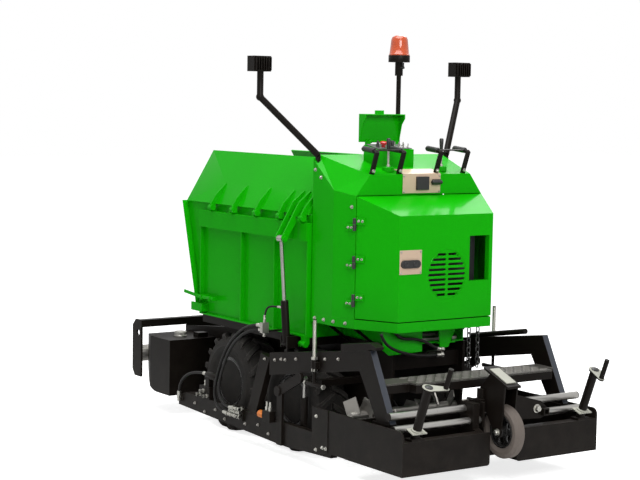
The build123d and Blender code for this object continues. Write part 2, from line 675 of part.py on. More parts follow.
def door_point(corner, z, back):
    """A point of the door, moved back along the chamfer from the seam."""
    dx, dy = -HOOD_SEAM_X, HOOD_REAR_Y - HOOD_SEAM_Y
    length = hypot(dx, dy)
    return (corner[0] + dx / length * back, corner[1] + dy / length * back, z)


def vent_slots():
    """Rows of slots with round ends that fill a circle, split by an upright web."""
    rows = int(VENT_R / VENT_PITCH)
    round_r = VENT_SLOT / 2
    near = VENT_WEB / 2 + round_r
    cutters = []
    for row in range(-rows, rows + 1):
        z = VENT_Z + row * VENT_PITCH
        reach = sqrt(VENT_R ** 2 - (row * VENT_PITCH) ** 2) - round_r
        for side in (1, -1):
            y0, y1 = sorted((VENT_Y + side * near, VENT_Y + side * max(reach, near + round_r)))
            cutters.append(block(-1, HOOD_T + 1, y0, y1, z - round_r, z + round_r))
            cutters += [rod((-1, y, z), (HOOD_T + 1, y, z), round_r) for y in (y0, y1)]
    return cutters


def door_vent():
    """Round slotted plate in the door."""
    disc = rod((0, VENT_Y, VENT_Z), (HOOD_T, VENT_Y, VENT_Z), VENT_R + VENT_RIM - RUN_GAP)
    return disc.cut(*vent_slots())


def window_reveal():
    """Frame that stands inward round the door's window."""
    (y0, y1), (z0, z1), t = WINDOW_Y, WINDOW_Z, WINDOW_EDGE
    outer = block(HOOD_T / 2, WINDOW_REVEAL, y0 - t, y1 + t, z0 - t, z1 + t)
    return outer - block(0, WINDOW_REVEAL + 1, y0, y1, z0, z1)


def hood_door():
    """Rear door in four folded sheets, with its hinge leaves, window and the hole for its vent."""
    seam = hood_ring(0)[2]
    gap = MOVE_GAP
    fall = (HOOD_SEAM_Z - HOOD_REAR_Z) / hypot(HOOD_SEAM_X, HOOD_SEAM_Y - HOOD_REAR_Y)
    seam_low = door_point(seam, DOOR_LOW_Z, gap)
    seam_high = door_point(seam, HOOD_SEAM_Z - gap * fall, gap)
    rear_low = (0.0, HOOD_REAR_Y, DOOR_LOW_Z)
    chamfer = [seam_low, seam_high, REAR_TOP, rear_low]
    pieces = [panel(chamfer, HOOD_INSIDE, HOOD_T), panel(flip(chamfer), HOOD_INSIDE, HOOD_T)]
    pieces.append(panel([rear_low, REAR_TOP] + flip([REAR_TOP, rear_low]), HOOD_INSIDE, HOOD_T))
    pieces.append(panel([seam_high, REAR_TOP] + flip([REAR_TOP, seam_high]), HOOD_INSIDE, HOOD_T))
    x, y = DOOR_HINGE
    (ax, ay, _), (bx, by, _) = door_point((x, y), 0, 0), door_point((x, y), 0, HINGE_LEAF)
    for z in HINGE_Z:
        low, high = z + RUN_GAP, z + HINGE_LENGTH / 2
        pieces.append(rod((x, y, low), (x, y, high), DOOR_HINGE_R))
        pieces.append(slab([(ax, ay, low), (bx, by, low), (bx, by, high), (ax, ay, high)], (4, -9, 0)))
    body = joined(pieces + [window_reveal()])
    body -= block(-20, HOOD_T + 1, *WINDOW_Y, *WINDOW_Z)
    return body - rod((-1, VENT_Y, VENT_Z), (HOOD_T + 1, VENT_Y, VENT_Z), VENT_R + VENT_RIM)


def door_hinges():
    """The fixed halves of the door's hinges, on the left side panel."""
    x, y = DOOR_HINGE
    pieces = []
    for z in HINGE_Z:
        barrel = rod((x, y, z - HINGE_LENGTH / 2), (x, y, z - RUN_GAP), DOOR_HINGE_R)
        slope = (HOOD_SIDE_Y - HOOD_SEAM_Y) / (HOOD_FOLD_X - HOOD_SEAM_X)
        leaf = prism_z([(x, y), (x + 60, HOOD_SEAM_Y + 0.3 + slope * (x + 60 - HOOD_SEAM_X)),
                        (x + 60, y + 60 * slope)], z - HINGE_LENGTH / 2, z - RUN_GAP)
        base = prism_z([(x + 6, HOOD_SEAM_Y + 0.3 + slope * (x + 6 - HOOD_SEAM_X)),
                        (x + 60, HOOD_SEAM_Y + 0.3 + slope * (x + 60 - HOOD_SEAM_X)),
                        (x + 60, y + 60 * slope), (x, y)], z - HINGE_LENGTH / 2, z - RUN_GAP)
        pieces.append(joined([barrel, leaf, base]))
    return Compound(children=pieces)


def engine():
    return block(*ENGINE_X, -ENGINE_HALF, ENGINE_HALF, HOOD_LOW_Z + HOOD_T, ENGINE_TOP_Z)


# Console and controls
def deck_z(x):
    return DECK_REAR_Z + (x - DECK_REAR_X) * (DECK_FRONT_Z - DECK_REAR_Z) / (HOOD_FRONT_X - DECK_REAR_X)


CONSOLE_X0, CONSOLE_X1 = 365.0, 490.0
CONSOLE_Y0, CONSOLE_Y1 = -45.0, 205.0
CONSOLE_TOP_Z = 1700.0
CONSOLE_RISE = 22.0
LID_HINGE = (CONSOLE_X1 + 14.0, CONSOLE_TOP_Z + CONSOLE_RISE + 18.0)
LID_D = 55.0
LID_WALL = 6.0
LID_PIN_R = 6.0
LID_TAB = 60.0
LID_H = LID_HINGE[0] - CONSOLE_X0 + MOVE_GAP + LID_WALL


def console_box():
    low0, low1 = deck_z(CONSOLE_X0) + RUN_GAP, deck_z(CONSOLE_X1) + RUN_GAP
    body = prism_y([(CONSOLE_X0, low0), (CONSOLE_X1, low1), (CONSOLE_X1, CONSOLE_TOP_Z + CONSOLE_RISE),
                    (CONSOLE_X0, CONSOLE_TOP_Z)], CONSOLE_Y0, CONSOLE_Y1)
    x, z = LID_HINGE
    pieces = [body, rod((x, CONSOLE_Y0 + 20, z), (x, CONSOLE_Y1 - 20, z), LID_PIN_R)]
    for y in (CONSOLE_Y0 + 20, CONSOLE_Y1 - 40):
        pieces.append(block(CONSOLE_X1 - 10, x + 4, y, y + 20, CONSOLE_TOP_Z + 6, z + 4))
    return joined(pieces)


def console_lid():
    """Shallow cover standing open behind the panel, with hollowed cheeks and a lifting tab."""
    x, z = LID_HINGE
    y0, y1 = CONSOLE_Y0 - MOVE_GAP - LID_WALL, CONSOLE_Y1 + MOVE_GAP + LID_WALL
    z0, z1 = z - 4, z + LID_H
    face = x + 14
    back = block(face, face + LID_WALL, y0, y1, z0, z1)
    roof = block(face - LID_D, face + LID_WALL, y0, y1, z1 - LID_WALL, z1)
    middle = (y0 + y1) / 2
    tab = block(face, face + LID_WALL, middle - LID_TAB / 2, middle + LID_TAB / 2, z1 - 1, z1 + LID_TAB / 3)
    pieces = [back, roof, tab]
    cheek = [(face + 1, z0), (face + 1, z1 - 1), (face - LID_D, z1 - 1), (face - LID_D, z1 - 24),
             (face - LID_D / 2, z1 - 58), (face - 12, z0 + 36), (face - 4, z0)]
    for y in (y0, y1 - LID_WALL):
        pieces.append(prism_y(cheek, y, y + LID_WALL))
    for y in (CONSOLE_Y0 + 42, CONSOLE_Y1 - 62):
        pieces.append(block(x, face + 1, y, y + 20, z - 4, z + 10))
        pieces.append(rod((x, y, z), (x, y + 20, z), LID_PIN_R + 4))
    lid = joined(pieces)
    return lid - rod((x, CONSOLE_Y0 + 30, z), (x, CONSOLE_Y1 - 30, z), LID_PIN_R + RUN_GAP)


GUARD_Y = [322.0, 142.0, -112.0, -302.0]
JOYSTICK_Y = [176.0, -189.0]
JOYSTICK_X = 66.0
JOYSTICK_H = 178.0
BAR_W = 28.0
BAR_T = 10.0
GUARD_H = 128.0
GUARD_REACH = 84.0


def guards():
    """Two bent flat-bar grips, each pair joined by a plate at its top."""
    x0 = DECK_REAR_X + BAR_T
    top = DECK_REAR_Z + GUARD_H
    tip = x0 + GUARD_REACH
    outline = [(x0, deck_z(x0) + RUN_GAP), (x0 - 44, top - 8), (x0 - 30, top + 4), (tip, top + 14),
               (tip, top + 14 - BAR_T), (x0 - 24, top - 6), (x0 - 32, top - 14),
               (x0 + BAR_T, deck_z(x0 + BAR_T) + RUN_GAP)]
    sheet = [(x0 - 30, top + 4), (x0 + 8, top + 7.3), (x0 + 8, top + 2.3), (x0 - 30, top - 1)]
    pieces = []
    for left, right in ((GUARD_Y[0], GUARD_Y[1]), (GUARD_Y[2], GUARD_Y[3])):
        bars = [prism_y(outline, y - BAR_W / 2, y + BAR_W / 2) for y in (left, right)]
        pieces.append(joined(bars + [prism_y(sheet, right, left)]))
    return Compound(children=pieces)


def deck_pad(x, y, half_x, half_y, thick):
    """A seat that lies along the sloping deck."""
    corners = [(x + a * half_x, y + b * half_y) for a, b in ((-1, -1), (1, -1), (1, 1), (-1, 1))]
    return slab([(px, py, deck_z(px) + RUN_GAP) for px, py in corners], (0, 0, thick))


def joysticks():
    x = DECK_REAR_X + JOYSTICK_X
    z = deck_z(x)
    pieces = []
    for y in JOYSTICK_Y:
        boss = rod((x, y, z + 10), (x, y, z + 22), 30)
        stem = rod((x, y, z + 10), (x, y, z + JOYSTICK_H - 30), 8)
        knob = rod((x, y, z + JOYSTICK_H - 75), (x, y, z + JOYSTICK_H), 17)
        pieces.append(joined([boss, stem, knob, deck_pad(x, y, 26, 20, 14)]))
    return Compound(children=pieces)


# Lamps
LAMP_R = 18.0
LAMP_FOOT = 26.0
LAMP_BASE = (580.0, 446.0)
LAMP_KNEE = (790.0, 692.0, 1974.0)
LAMP_TOP_Z = 2112.0
LAMP_HEAD = (70.0, 110.0, 84.0)


def corner_z(x, y):
    """Height of the roof's small facet at the hood's front corner."""
    along = (HOOD_FRONT_Z - HOOD_FOLD_Z) / (HOOD_FRONT_X - HOOD_FOLD_X)
    across = (DECK_FRONT_Z - HOOD_FRONT_Z) / (HOOD_SIDE_Y - DECK_FRONT_Y)
    return HOOD_FRONT_Z + (x - HOOD_FRONT_X) * along + (HOOD_SIDE_Y - y) * across


def lamp():
    """Cranked tube on the hood's front corner with a square head."""
    bx, by = LAMP_BASE
    corners = [(bx - 13, by - 9), (bx + 13, by - 9), (bx + 13, by + 9), (bx - 13, by + 9)]
    foot = slab([(x, y, corner_z(x, y) + RUN_GAP) for x, y in corners], (0, 0, LAMP_FOOT + 4))
    base = (bx, by, corner_z(bx, by) + LAMP_FOOT)
    top = (LAMP_KNEE[0], LAMP_KNEE[1], LAMP_TOP_Z)
    lx, ly, lz = LAMP_HEAD
    head = block(top[0] - lx / 2, top[0] + lx / 2, top[1] - ly / 2 + 8, top[1] + ly / 2 + 8, LAMP_TOP_Z,
                 LAMP_TOP_Z + lz)
    knee = Pos(*LAMP_KNEE) * Sphere(LAMP_R + 4)
    return joined([foot, rod(base, LAMP_KNEE, LAMP_R), knee, rod(LAMP_KNEE, top, LAMP_R), head])


BEACON = (555.0, -75.0)
BEACON_SEAT_Z = 2218.0


def beacon_pole():
    x, y = BEACON
    seat = BEACON_SEAT_Z
    pole = rod((x, y, deck_z(x) + 4), (x, y, seat - 68), 13)
    neck = rod((x, y, seat - 113), (x, y, seat - 33), 22)
    base = rod((x, y, seat - 38), (x, y, seat), 60)
    return joined([deck_pad(x, y, 30, 30, 10), pole, neck, base])


def beacon_dome():
    x, y = BEACON
    dome = Solid.make_cone(58, 46, 112, Plane((x, y, BEACON_SEAT_Z + RUN_GAP)))
    return dome.fillet(16, dome.edges().sort_by(Axis.Z)[-1:])


# Front end
BUMPER_X = RAIL_FRONT_X + 15
BUMPER_Y = 580.0
BUMPER_LOW_Z = 190.0
BUMPER_TOP_Z = 553.0
BUMPER_PLATE_T = 14.0
BUMPER_BEAM_D = 50.0
BUMPER_BEAM_H = 46.0
ROLLER_R = 52.0
ROLLER_GAP = 12.0
ROLLER_X = RAIL_FRONT_X + BUMPER_PLATE_T + ROLLER_GAP + ROLLER_R
ROLLER_Z = 330.0
ROLLER_SHAFT_R = 16.0
EYE_R = 20.0
EYE_Z = BUMPER_TOP_Z - 83


def bumper():
    """End plates, top beam and the roller's shaft, bolted to the front of the rails."""
    z0, z1, t = BUMPER_LOW_Z, BUMPER_TOP_Z, BUMPER_PLATE_T
    front = RAIL_FRONT_X
    pieces = [block(front, front + BUMPER_BEAM_D, -BUMPER_Y, BUMPER_Y, z1 - BUMPER_BEAM_H, z1)]
    pieces.append(block(front, front + t, -RAIL_Y, RAIL_Y, RAIL_NOSE_LOW_Z, z1 - BUMPER_BEAM_H + 1))
    nose = ROLLER_X + 40
    outline = [(BUMPER_X - 10, z0), (ROLLER_X + 10, z0), (nose, z0 + 40), (nose, z1 - 40), (ROLLER_X, z1),
               (BUMPER_X - 10, z1)]
    end_plate = prism_y(outline, BUMPER_Y - t, BUMPER_Y)
    end_plate -= rod((BUMPER_X + 30, BUMPER_Y - t - 1, EYE_Z), (BUMPER_X + 30, BUMPER_Y + 1, EYE_Z), EYE_R)
    pieces += [end_plate, mirrored(end_plate)]
    end = BUMPER_Y - t + 1
    pieces.append(rod((ROLLER_X, -end, ROLLER_Z), (ROLLER_X, end, ROLLER_Z), ROLLER_SHAFT_R))
    return joined(pieces)


def push_rollers():
    """Two rollers that turn on the bumper's shaft and push the lorry's wheels."""
    end = BUMPER_Y - BUMPER_PLATE_T - MOVE_GAP
    left = rod((ROLLER_X, 8, ROLLER_Z), (ROLLER_X, end, ROLLER_Z), ROLLER_R)
    left = left - rod((ROLLER_X, 0, ROLLER_Z), (ROLLER_X, end + 1, ROLLER_Z), ROLLER_SHAFT_R + RUN_GAP)
    return Compound(children=[left, mirrored(left)])


TANK_LENGTH = 337.0
TANK_X1 = RAIL_FRONT_X - 30
TANK_X0 = TANK_X1 - TANK_LENGTH
TANK_LOW_Z = 126.0
TANK_TOP_Z = 471.0
TANK_CURVE_R = 180.0
TANK_CHAMFER = (90.0, 35.0)
CAP_R = 36.0
CAP_H = 29.0


def tank():
    """Tank on the outside of the rail, rounded up towards the bumper, with its filler cap."""
    y0 = RAIL_Y + RUN_GAP
    body = block(TANK_X0, TANK_X1, y0, BUMPER_Y, TANK_LOW_Z, TANK_TOP_Z)
    low_edges = body.edges().filter_by(Axis.Y).sort_by(Axis.Z)[:2]
    body = body.fillet(TANK_CURVE_R, low_edges.sort_by(Axis.X)[-1:])
    long, deep = TANK_CHAMFER
    cut_x, cut_y = TANK_X1 + 1, BUMPER_Y + 1
    body -= prism_z([(TANK_X1 - long, cut_y), (cut_x, cut_y), (cut_x, BUMPER_Y - deep)],
                    TANK_LOW_Z - 1, TANK_TOP_Z + 1)
    cap_y = (y0 + BUMPER_Y) / 2 + 5
    cap = rod((TANK_X0 + 150, cap_y, TANK_TOP_Z - 1), (TANK_X0 + 150, cap_y, TANK_TOP_Z + CAP_H), CAP_R)
    breather = block(TANK_X0 + 30, TANK_X0 + 90, y0 + 40, y0 + 110, TANK_TOP_Z - 1, TANK_TOP_Z + CAP_H)
    return joined([body, cap, breather])


# Screed lift cylinders
LIFT_X = 540.0
LIFT_Y = 537.0
LIFT_TOP_Z = 440.0
LIFT_BASE_Z = 150.0
LIFT_LENGTH = 190.0
LIFT_R = 20.0
LIFT_ROD_R = 10.0
LIFT_EYE_R = 18.0
LIFT_EYE_HALF = 12.0
LIFT_PIN_R = 9.0
LIFT_PLATE_T = 16.0
LIFT_BEAM_X = 395.0
LIFT_BEAM_W = 40.0


def lift_barrels():
    low, high = LIFT_Y - LIFT_EYE_HALF, LIFT_Y + LIFT_EYE_HALF
    eye = rod((LIFT_X, low, LIFT_BASE_Z), (LIFT_X, high, LIFT_BASE_Z), LIFT_EYE_R)
    body = rod((LIFT_X, LIFT_Y, LIFT_BASE_Z + 8), (LIFT_X, LIFT_Y, LIFT_BASE_Z + LIFT_LENGTH), LIFT_R)
    left = joined([eye, body])
    left -= rod((LIFT_X, low - 30, LIFT_BASE_Z), (LIFT_X, high + 30, LIFT_BASE_Z), LIFT_PIN_R + RUN_GAP)
    left -= rod((LIFT_X, LIFT_Y, LIFT_BASE_Z + 40), (LIFT_X, LIFT_Y, LIFT_BASE_Z + LIFT_LENGTH + 1),
                LIFT_ROD_R + RUN_GAP)
    return Compound(children=[left, mirrored(left)])


def lift_rods():
    low, high = LIFT_Y - LIFT_EYE_HALF, LIFT_Y + LIFT_EYE_HALF
    shaft = rod((LIFT_X, LIFT_Y, LIFT_BASE_Z + 110), (LIFT_X, LIFT_Y, LIFT_TOP_Z), LIFT_ROD_R)
    eye = rod((LIFT_X, low, LIFT_TOP_Z), (LIFT_X, high, LIFT_TOP_Z), LIFT_EYE_R)
    left = joined([shaft, eye])
    return Compound(children=[left, mirrored(left)])


# Tow arms
def valve_block():
    """Valve on top of the low bar with its motor lying along it."""
    y0, y1, z = ARM_IN_Y, ARM_IN_Y + ARM_T, BAR_TOP_Z
    x = VALVE_X
    return [block(x, x + 115, y0 + 6, y1 + 6, z - 1, z + 74),
            block(x + 10, x + 50, y0 + 14, y1 + 4, z + 70, z + 160),
            rod((x - 90, y0 + 33, z + 142), (x + 42, y0 + 33, z + 142), 22)]


def coil_block():
    """Small valve with a coil on the outside of the low bar."""
    y, z, x = ARM_IN_Y + ARM_T, BAR_TOP_Z, COIL_X
    return [block(x, x + 75, y - 1, y + 38, z - 12, z + 50),
            rod((x + 74, y + 20, z + 20), (x + 137, y + 20, z + 20), 16)]


def upper_link():
    """Post on the low bar and the slanted link from its head."""
    y = ARM_IN_Y + ARM_T
    (ax, az), (bx, bz) = LINK_LOW, LINK_HIGH
    post = block(ax - 42, ax + 8, y - 1, y + LINK_T, BAR_TOP_Z - 126, az)
    line = Vector(bx - ax, bz - az).normalized()
    side = Vector(-line.Y, line.X) * LINK_W
    corners = [Vector(ax, az) + side, Vector(bx, bz) + side, Vector(bx, bz) - side, Vector(ax, az) - side]
    link = prism_y([(c.X, c.Y) for c in corners], y + 2, y + LINK_T)
    bosses = [rod((x, y + 2, z), (x, y + LINK_T + 8, z), LINK_W) for x, z in (LINK_LOW, LINK_HIGH)]
    return [post, link] + bosses


def low_bar():
    """The bar from the tow pin to the screed, with the lift cylinder's pin."""
    y0, y1 = ARM_IN_Y, ARM_IN_Y + ARM_T
    top = BAR_TOP_Z
    bar = prism_y([(TOW_X + 42, TOW_Z - 44), (TOW_X + 42, TOW_Z + 15), (TOW_X - 38, top), (BAR_REAR_X, top),
                   (BAR_REAR_X, top - 110), (BAR_REAR_X + 480, top - 128)], y0, y1)
    bar -= rod((TOW_X, y0 - 1, TOW_Z), (TOW_X, y1 + 1, TOW_Z), TOW_PIN_R + RUN_GAP)
    pin = rod((LIFT_X, LIFT_Y - LIFT_EYE_HALF, LIFT_BASE_Z), (LIFT_X, y0 + 5, LIFT_BASE_Z), LIFT_PIN_R)
    return joined([bar, pin] + valve_block() + coil_block() + upper_link())


def spindle():
    """Upright threaded rod in a collar on the arch, with a cross bar at its foot."""
    y = ARM_IN_Y + ARM_T + 17
    x = SPINDLE_X
    z = (ARCH_FRONT_TOP_Z + ARCH_FRONT_LOW_Z) / 2 + 60
    return [rod((x, y, SPINDLE_LOW_Z), (x, y, SPINDLE_TOP_Z), SPINDLE_ROD_R),
            rod((x, y, z - 30), (x, y, z + 30), SPINDLE_ROD_R + 8),
            block(x - 24, x + 24, ARM_IN_Y + ARM_T - 1, y + 10, z - 18, z + 18),
            rod((x - 82, y, SPINDLE_LOW_Z + 12), (x + 76, y, SPINDLE_LOW_Z + 12), SPINDLE_ROD_R + 2)]


def arch_top_z(x):
    slope = (ARCH_REAR_Z - ARCH_FRONT_TOP_Z) / (ARCH_REAR_X - ARCH_FRONT_X)
    return ARCH_FRONT_TOP_Z + (x - ARCH_FRONT_X) * slope


def arch_cap():
    """Pad on the rear end of the left arch."""
    x, z = ARCH_REAR_X, ARCH_REAR_Z
    front = x + 248
    seat = arch_top_z(front)
    outline = [(front, seat - 1), (front, seat + 38), (x - 4, z + 40), (x - 58, z + 22), (x - 54, z + 8),
               (x + 6, z + 3), (x + 12, arch_top_z(x + 12) - 1)]
    return prism_y(outline, ARM_IN_Y - 6, ARM_IN_Y + ARM_T + 6)


def arch_tube():
    """Round tube along the top of the right arch."""
    y = ARM_IN_Y + ARM_T / 2
    x0, x1 = ARCH_REAR_X + 158, ARCH_FRONT_X - 310
    return rod((x1, y, arch_top_z(x1) + 11), (x0, y, arch_top_z(x0) + 24), 15)


def tow_arm(topping):
    """The low bar and the arch over the rear wheel, as plates that butt together."""
    y0, y1 = ARM_IN_Y, ARM_IN_Y + ARM_T
    gap = RUN_GAP
    front, rear, top = ARCH_FRONT_X, ARCH_REAR_X, ARCH_FRONT_TOP_Z
    foot, leg_low = BAR_TOP_Z + gap, SCREED_FOOT_Z + gap
    front_leg = prism_y([(front + 230, foot), (front + 90, top - 14), (front, top - 30), (front + 140, foot)],
                        y0, y1)
    beam = prism_y([(front - gap, ARCH_FRONT_LOW_Z), (front - gap, top), (rear, ARCH_REAR_Z), ARCH_KNEE],
                   y0, y1)
    rear_leg = prism_y([(ARCH_KNEE[0], ARCH_KNEE[1] - gap), (rear + gap, ARCH_REAR_Z - gap),
                        (LEG_FOOT_X[0], leg_low), (LEG_FOOT_X[1], leg_low)], y0, y1)
    return Compound(children=[low_bar(), front_leg, joined([beam, topping] + spindle()), rear_leg])


# Screed
BASE_REAR_X = -320.0
BASE_FRONT_X = 60.0
BASE_TOP_Z = 300.0


def screed_base():
    """Main screed box with end cheeks and the brackets that hold the guide tubes."""
    end = ARM_IN_Y
    body = block(BASE_REAR_X, BASE_FRONT_X, -end, end, SCREED_LOW_Z, BASE_TOP_Z)
    body -= block(BASE_REAR_X + SCREED_PLATE, BASE_FRONT_X - SCREED_PLATE, -end - 1, end + 1,
                  SCREED_LOW_Z + SCREED_PLATE, BASE_TOP_Z + 1)
    pieces = [body]
    for y in (-200, 190):
        pieces.append(block(BASE_REAR_X + 2, BASE_FRONT_X - 2, y, y + 10, SCREED_LOW_Z + 2, BASE_TOP_Z))
    for side in (1, -1):
        low, high = sorted((side * (end - 12), side * (ARM_IN_Y + ARM_T)))
        pieces.append(block(BASE_REAR_X, -180, low, high, BASE_TOP_Z - 12, SCREED_FOOT_Z))
    return joined(pieces)


GUIDES = [(-395.0, 335.0), (-355.0, 395.0)]
CARRIER_Y = 68.0
CARRIER_T = 12.0


def side_bracket():
    """Tapered plate to the right of the support wheel, with a square tube's end."""
    x1 = COLLAR_REAR_X - 2 * MOVE_GAP
    x0 = x1 - CARRIER_T
    y, top = -CARRIER_Y, COLLAR_TOP_Z
    plate = prism_x([(y, top + 40), (y, top - 100), (-290, top - 112), (-330, top - 98), (-330, top - 54),
                     (-290, top - 20)], x0, x1)
    neck = block(x1 - 1, COLLAR_REAR_X + 6, y - CARRIER_T, y, top - 100, top - 5)
    tube = block(x0 - 26, x0 + 1, -328, -290, top - 96, top - 58)
    tube -= block(x0 - 27, x0 - 4, -322, -296, top - 90, top - 64)
    return [plate, neck, tube]


def guide_tubes():
    """Cross tubes on a plate at each side of the support wheel, on which the extensions slide."""
    end = SCREED_END_Y - SCREED_PLATE - MOVE_GAP
    front, rear = BASE_REAR_X + SCREED_PLATE, COLLAR_REAR_X + 5
    outline = [(front, BASE_TOP_Z), (front, COLLAR_TOP_Z), (rear, COLLAR_TOP_Z), (rear, BASE_TOP_Z)]
    left = [prism_y(outline, CARRIER_Y, CARRIER_Y + CARRIER_T)]
    left += [rod((x, CARRIER_Y, z), (x, end, z), GUIDE_R) for x, z in GUIDES]
    return joined(left + [mirrored(shape) for shape in left] + support_bracket() + side_bracket())


EXT_IN_Y = 92.0
EXT_FRONT_X = BASE_REAR_X - MOVE_GAP
EXT_BACK_Z = 290.0
EXT_CORNER = 16.0
COLLAR_Y = (110.0, 150.0)
COLLAR_REAR_X = -430.0
COLLAR_TOP_Z = 430.0


def end_plate():
    """Side plate of an extension with a rounded rear corner and a shallow recess."""
    y0, y1 = SCREED_END_Y - SCREED_PLATE, SCREED_END_Y
    rear, z0, z1 = SCREED_REAR_X, SCREED_LOW_Z, SCREED_TOP_Z
    low_front = z0 - 2.5 * SCREED_PLATE
    plate = prism_y([(rear, z0), (rear, z1), (CHEEK_FRONT_X, z1), (CHEEK_FRONT_X, low_front),
                     (CHEEK_RECESS_X[1], z0)], y0, y1)
    rear_edges = plate.edges().filter_by(Axis.Y).sort_by(Axis.X)[:2]
    plate = plate.fillet(CHEEK_CORNER, rear_edges.sort_by(Axis.Z)[-1:])
    return plate - block(*CHEEK_RECESS_X, y1 - CHEEK_RECESS, y1 + 1, z0 - 1, z1 + 1)


def extension():
    """Left sliding screed: sole, rear plate, end plate and the collars on the guide tubes."""
    end_in = SCREED_END_Y - SCREED_PLATE
    rear, z0 = SCREED_REAR_X, SCREED_LOW_Z
    sole = block(rear, EXT_FRONT_X, EXT_IN_Y + EXT_CORNER, end_in + 1, z0, z0 + SCREED_PLATE)
    back = block(rear, rear + SCREED_PLATE, EXT_IN_Y, end_in + 1, z0, EXT_BACK_Z)
    inner_edges = back.edges().filter_by(Axis.X).sort_by(Axis.Y)[:2]
    back = back.fillet(EXT_CORNER, inner_edges.sort_by(Axis.Z)[:1])
    lip = block(rear, rear + 60, EXT_IN_Y + 50, end_in + 1, EXT_BACK_Z - 8, EXT_BACK_Z)
    collar = prism_y([(rear + 1, z0 + 1), (rear + 1, EXT_BACK_Z - 10), (COLLAR_REAR_X, EXT_BACK_Z + 10),
                      (COLLAR_REAR_X, COLLAR_TOP_Z), (EXT_FRONT_X, COLLAR_TOP_Z), (EXT_FRONT_X, z0 + 1)],
                     *COLLAR_Y)
    body = joined([sole, back, lip, end_plate(), collar])
    for x, z in GUIDES:
        body -= rod((x, COLLAR_Y[0] - 10, z), (x, COLLAR_Y[1] + 10, z), GUIDE_R + RUN_GAP)
    return body


CRANK_BASE = (-466.0, 557.0, 290.0)
CRANK_LEAN = 20.9
CRANK_LENGTH = 290.0
CRANK_R = 23.0
CRANK_REACH = 92.0
CRANK_PLATE_T = 8.0
GRIP_R = 13.0
GRIP_LENGTH = 120.0
STEP_X = (-300.0, -105.0)
STEP_LEG_X = -240.0
STEP_BAR_Y = (-505.0, 420.0)
STEP_LOW_Z = 485.0
STEP_H = 42.0
STEP_T = 8.0
DIAMOND_PITCH_X = 35.0
DIAMOND_PITCH_Y = 60.0
DIAMOND_L = 50.0
DIAMOND_W = 24.0


def crank(turn):
    """Leaning post with a tapered crank plate and an upright grip, the plate turned about the post."""
    lean = radians(CRANK_LEAN)
    axis = Vector(-sin(lean), 0, cos(lean))
    back = Vector(-cos(lean), 0, -sin(lean))
    reach = back * cos(radians(turn)) + Vector(0, -1, 0) * sin(radians(turn))
    side = axis.cross(reach)
    x, y, z = CRANK_BASE
    base = Vector(x, y, z)
    top = base + axis * CRANK_LENGTH
    arm_end = top + reach * CRANK_REACH
    rise = axis * CRANK_PLATE_T
    wide, narrow = CRANK_R + 8, GRIP_R + 3
    corners = [top + side * wide, arm_end + side * narrow, arm_end - side * narrow, top - side * wide]
    pieces = [block(x - 34, x + 26, y - 40, y + 40, z, z + 12), rod(base + axis * 8, top, CRANK_R)]
    pieces += [slab(corners, rise), rod(top, top + rise, wide), rod(arm_end, arm_end + rise, narrow)]
    pieces.append(rod(arm_end + axis * 2, arm_end + axis * GRIP_LENGTH, GRIP_R))
    return joined(pieces)


def step_plan(inset):
    """The step's outline in plan, moved inwards by the inset."""
    end = ARM_IN_Y - RUN_GAP - inset
    x0, x1, leg = STEP_X[0] + inset, STEP_X[1] - inset, STEP_LEG_X + inset
    y0, y1 = STEP_BAR_Y[0] + inset, STEP_BAR_Y[1] - inset
    return [(x1, -end), (x1, end), (leg, end), (leg, y1), (x0, y1), (x0, y0), (leg, y0), (leg, -end)]


def platform():
    """Upright bars round the step."""
    z0, z1 = STEP_LOW_Z, STEP_LOW_Z + STEP_H
    return prism_z(step_plan(0), z0, z1) - prism_z(step_plan(STEP_T), z0 - 1, z1 + 1)


def step_mesh():
    """Floor sheet of the step, cut in rows of diamonds that stand half a step apart."""
    z0 = STEP_LOW_Z + STEP_H + RUN_GAP
    x1, y0 = STEP_X[1] - STEP_T, STEP_BAR_Y[0] + STEP_T
    rows = int((x1 - STEP_X[0] - STEP_T) / DIAMOND_PITCH_X)
    columns = int((STEP_BAR_Y[1] - STEP_T - y0) / DIAMOND_PITCH_Y)
    long, short = DIAMOND_L / 2, DIAMOND_W / 2
    cutters = []
    for row in range(rows):
        x = x1 - DIAMOND_PITCH_X * (row + 0.5)
        odd = row % 2
        for column in range(columns - odd):
            y = y0 + DIAMOND_PITCH_Y * (column + 0.5 + odd / 2)
            outline = [(x, y - long), (x + short, y), (x, y + long), (x - short, y)]
            cutters.append(prism_z(outline, z0 - 1, z0 + STEP_T + 1))
    return prism_z(step_plan(0), z0, z0 + STEP_T).cut(*cutters)


# Support wheel
SUPPORT_R = 138.0
SUPPORT_SPOKES = 5
SPOKE_HOLE_AT = 53.0
SPOKE_HOLE_R = 20.0
SUPPORT_WIDTH = 66.0
SUPPORT_AXLE = (-500.0, 285.0)
SUPPORT_PIVOT = (-372.0, 470.0)
SUPPORT_AXLE_R = 10.0


def support_tyre():
    x, z = SUPPORT_AXLE
    half = SUPPORT_WIDTH / 2
    profile = [(84 + RUN_GAP, -half + 12), (104, -half), (SUPPORT_R - 16, -half), (SUPPORT_R, -half + 16),
               (SUPPORT_R, half - 16), (SUPPORT_R - 16, half), (104, half), (84 + RUN_GAP, half - 12)]
    return turned(profile, x, 0, z)


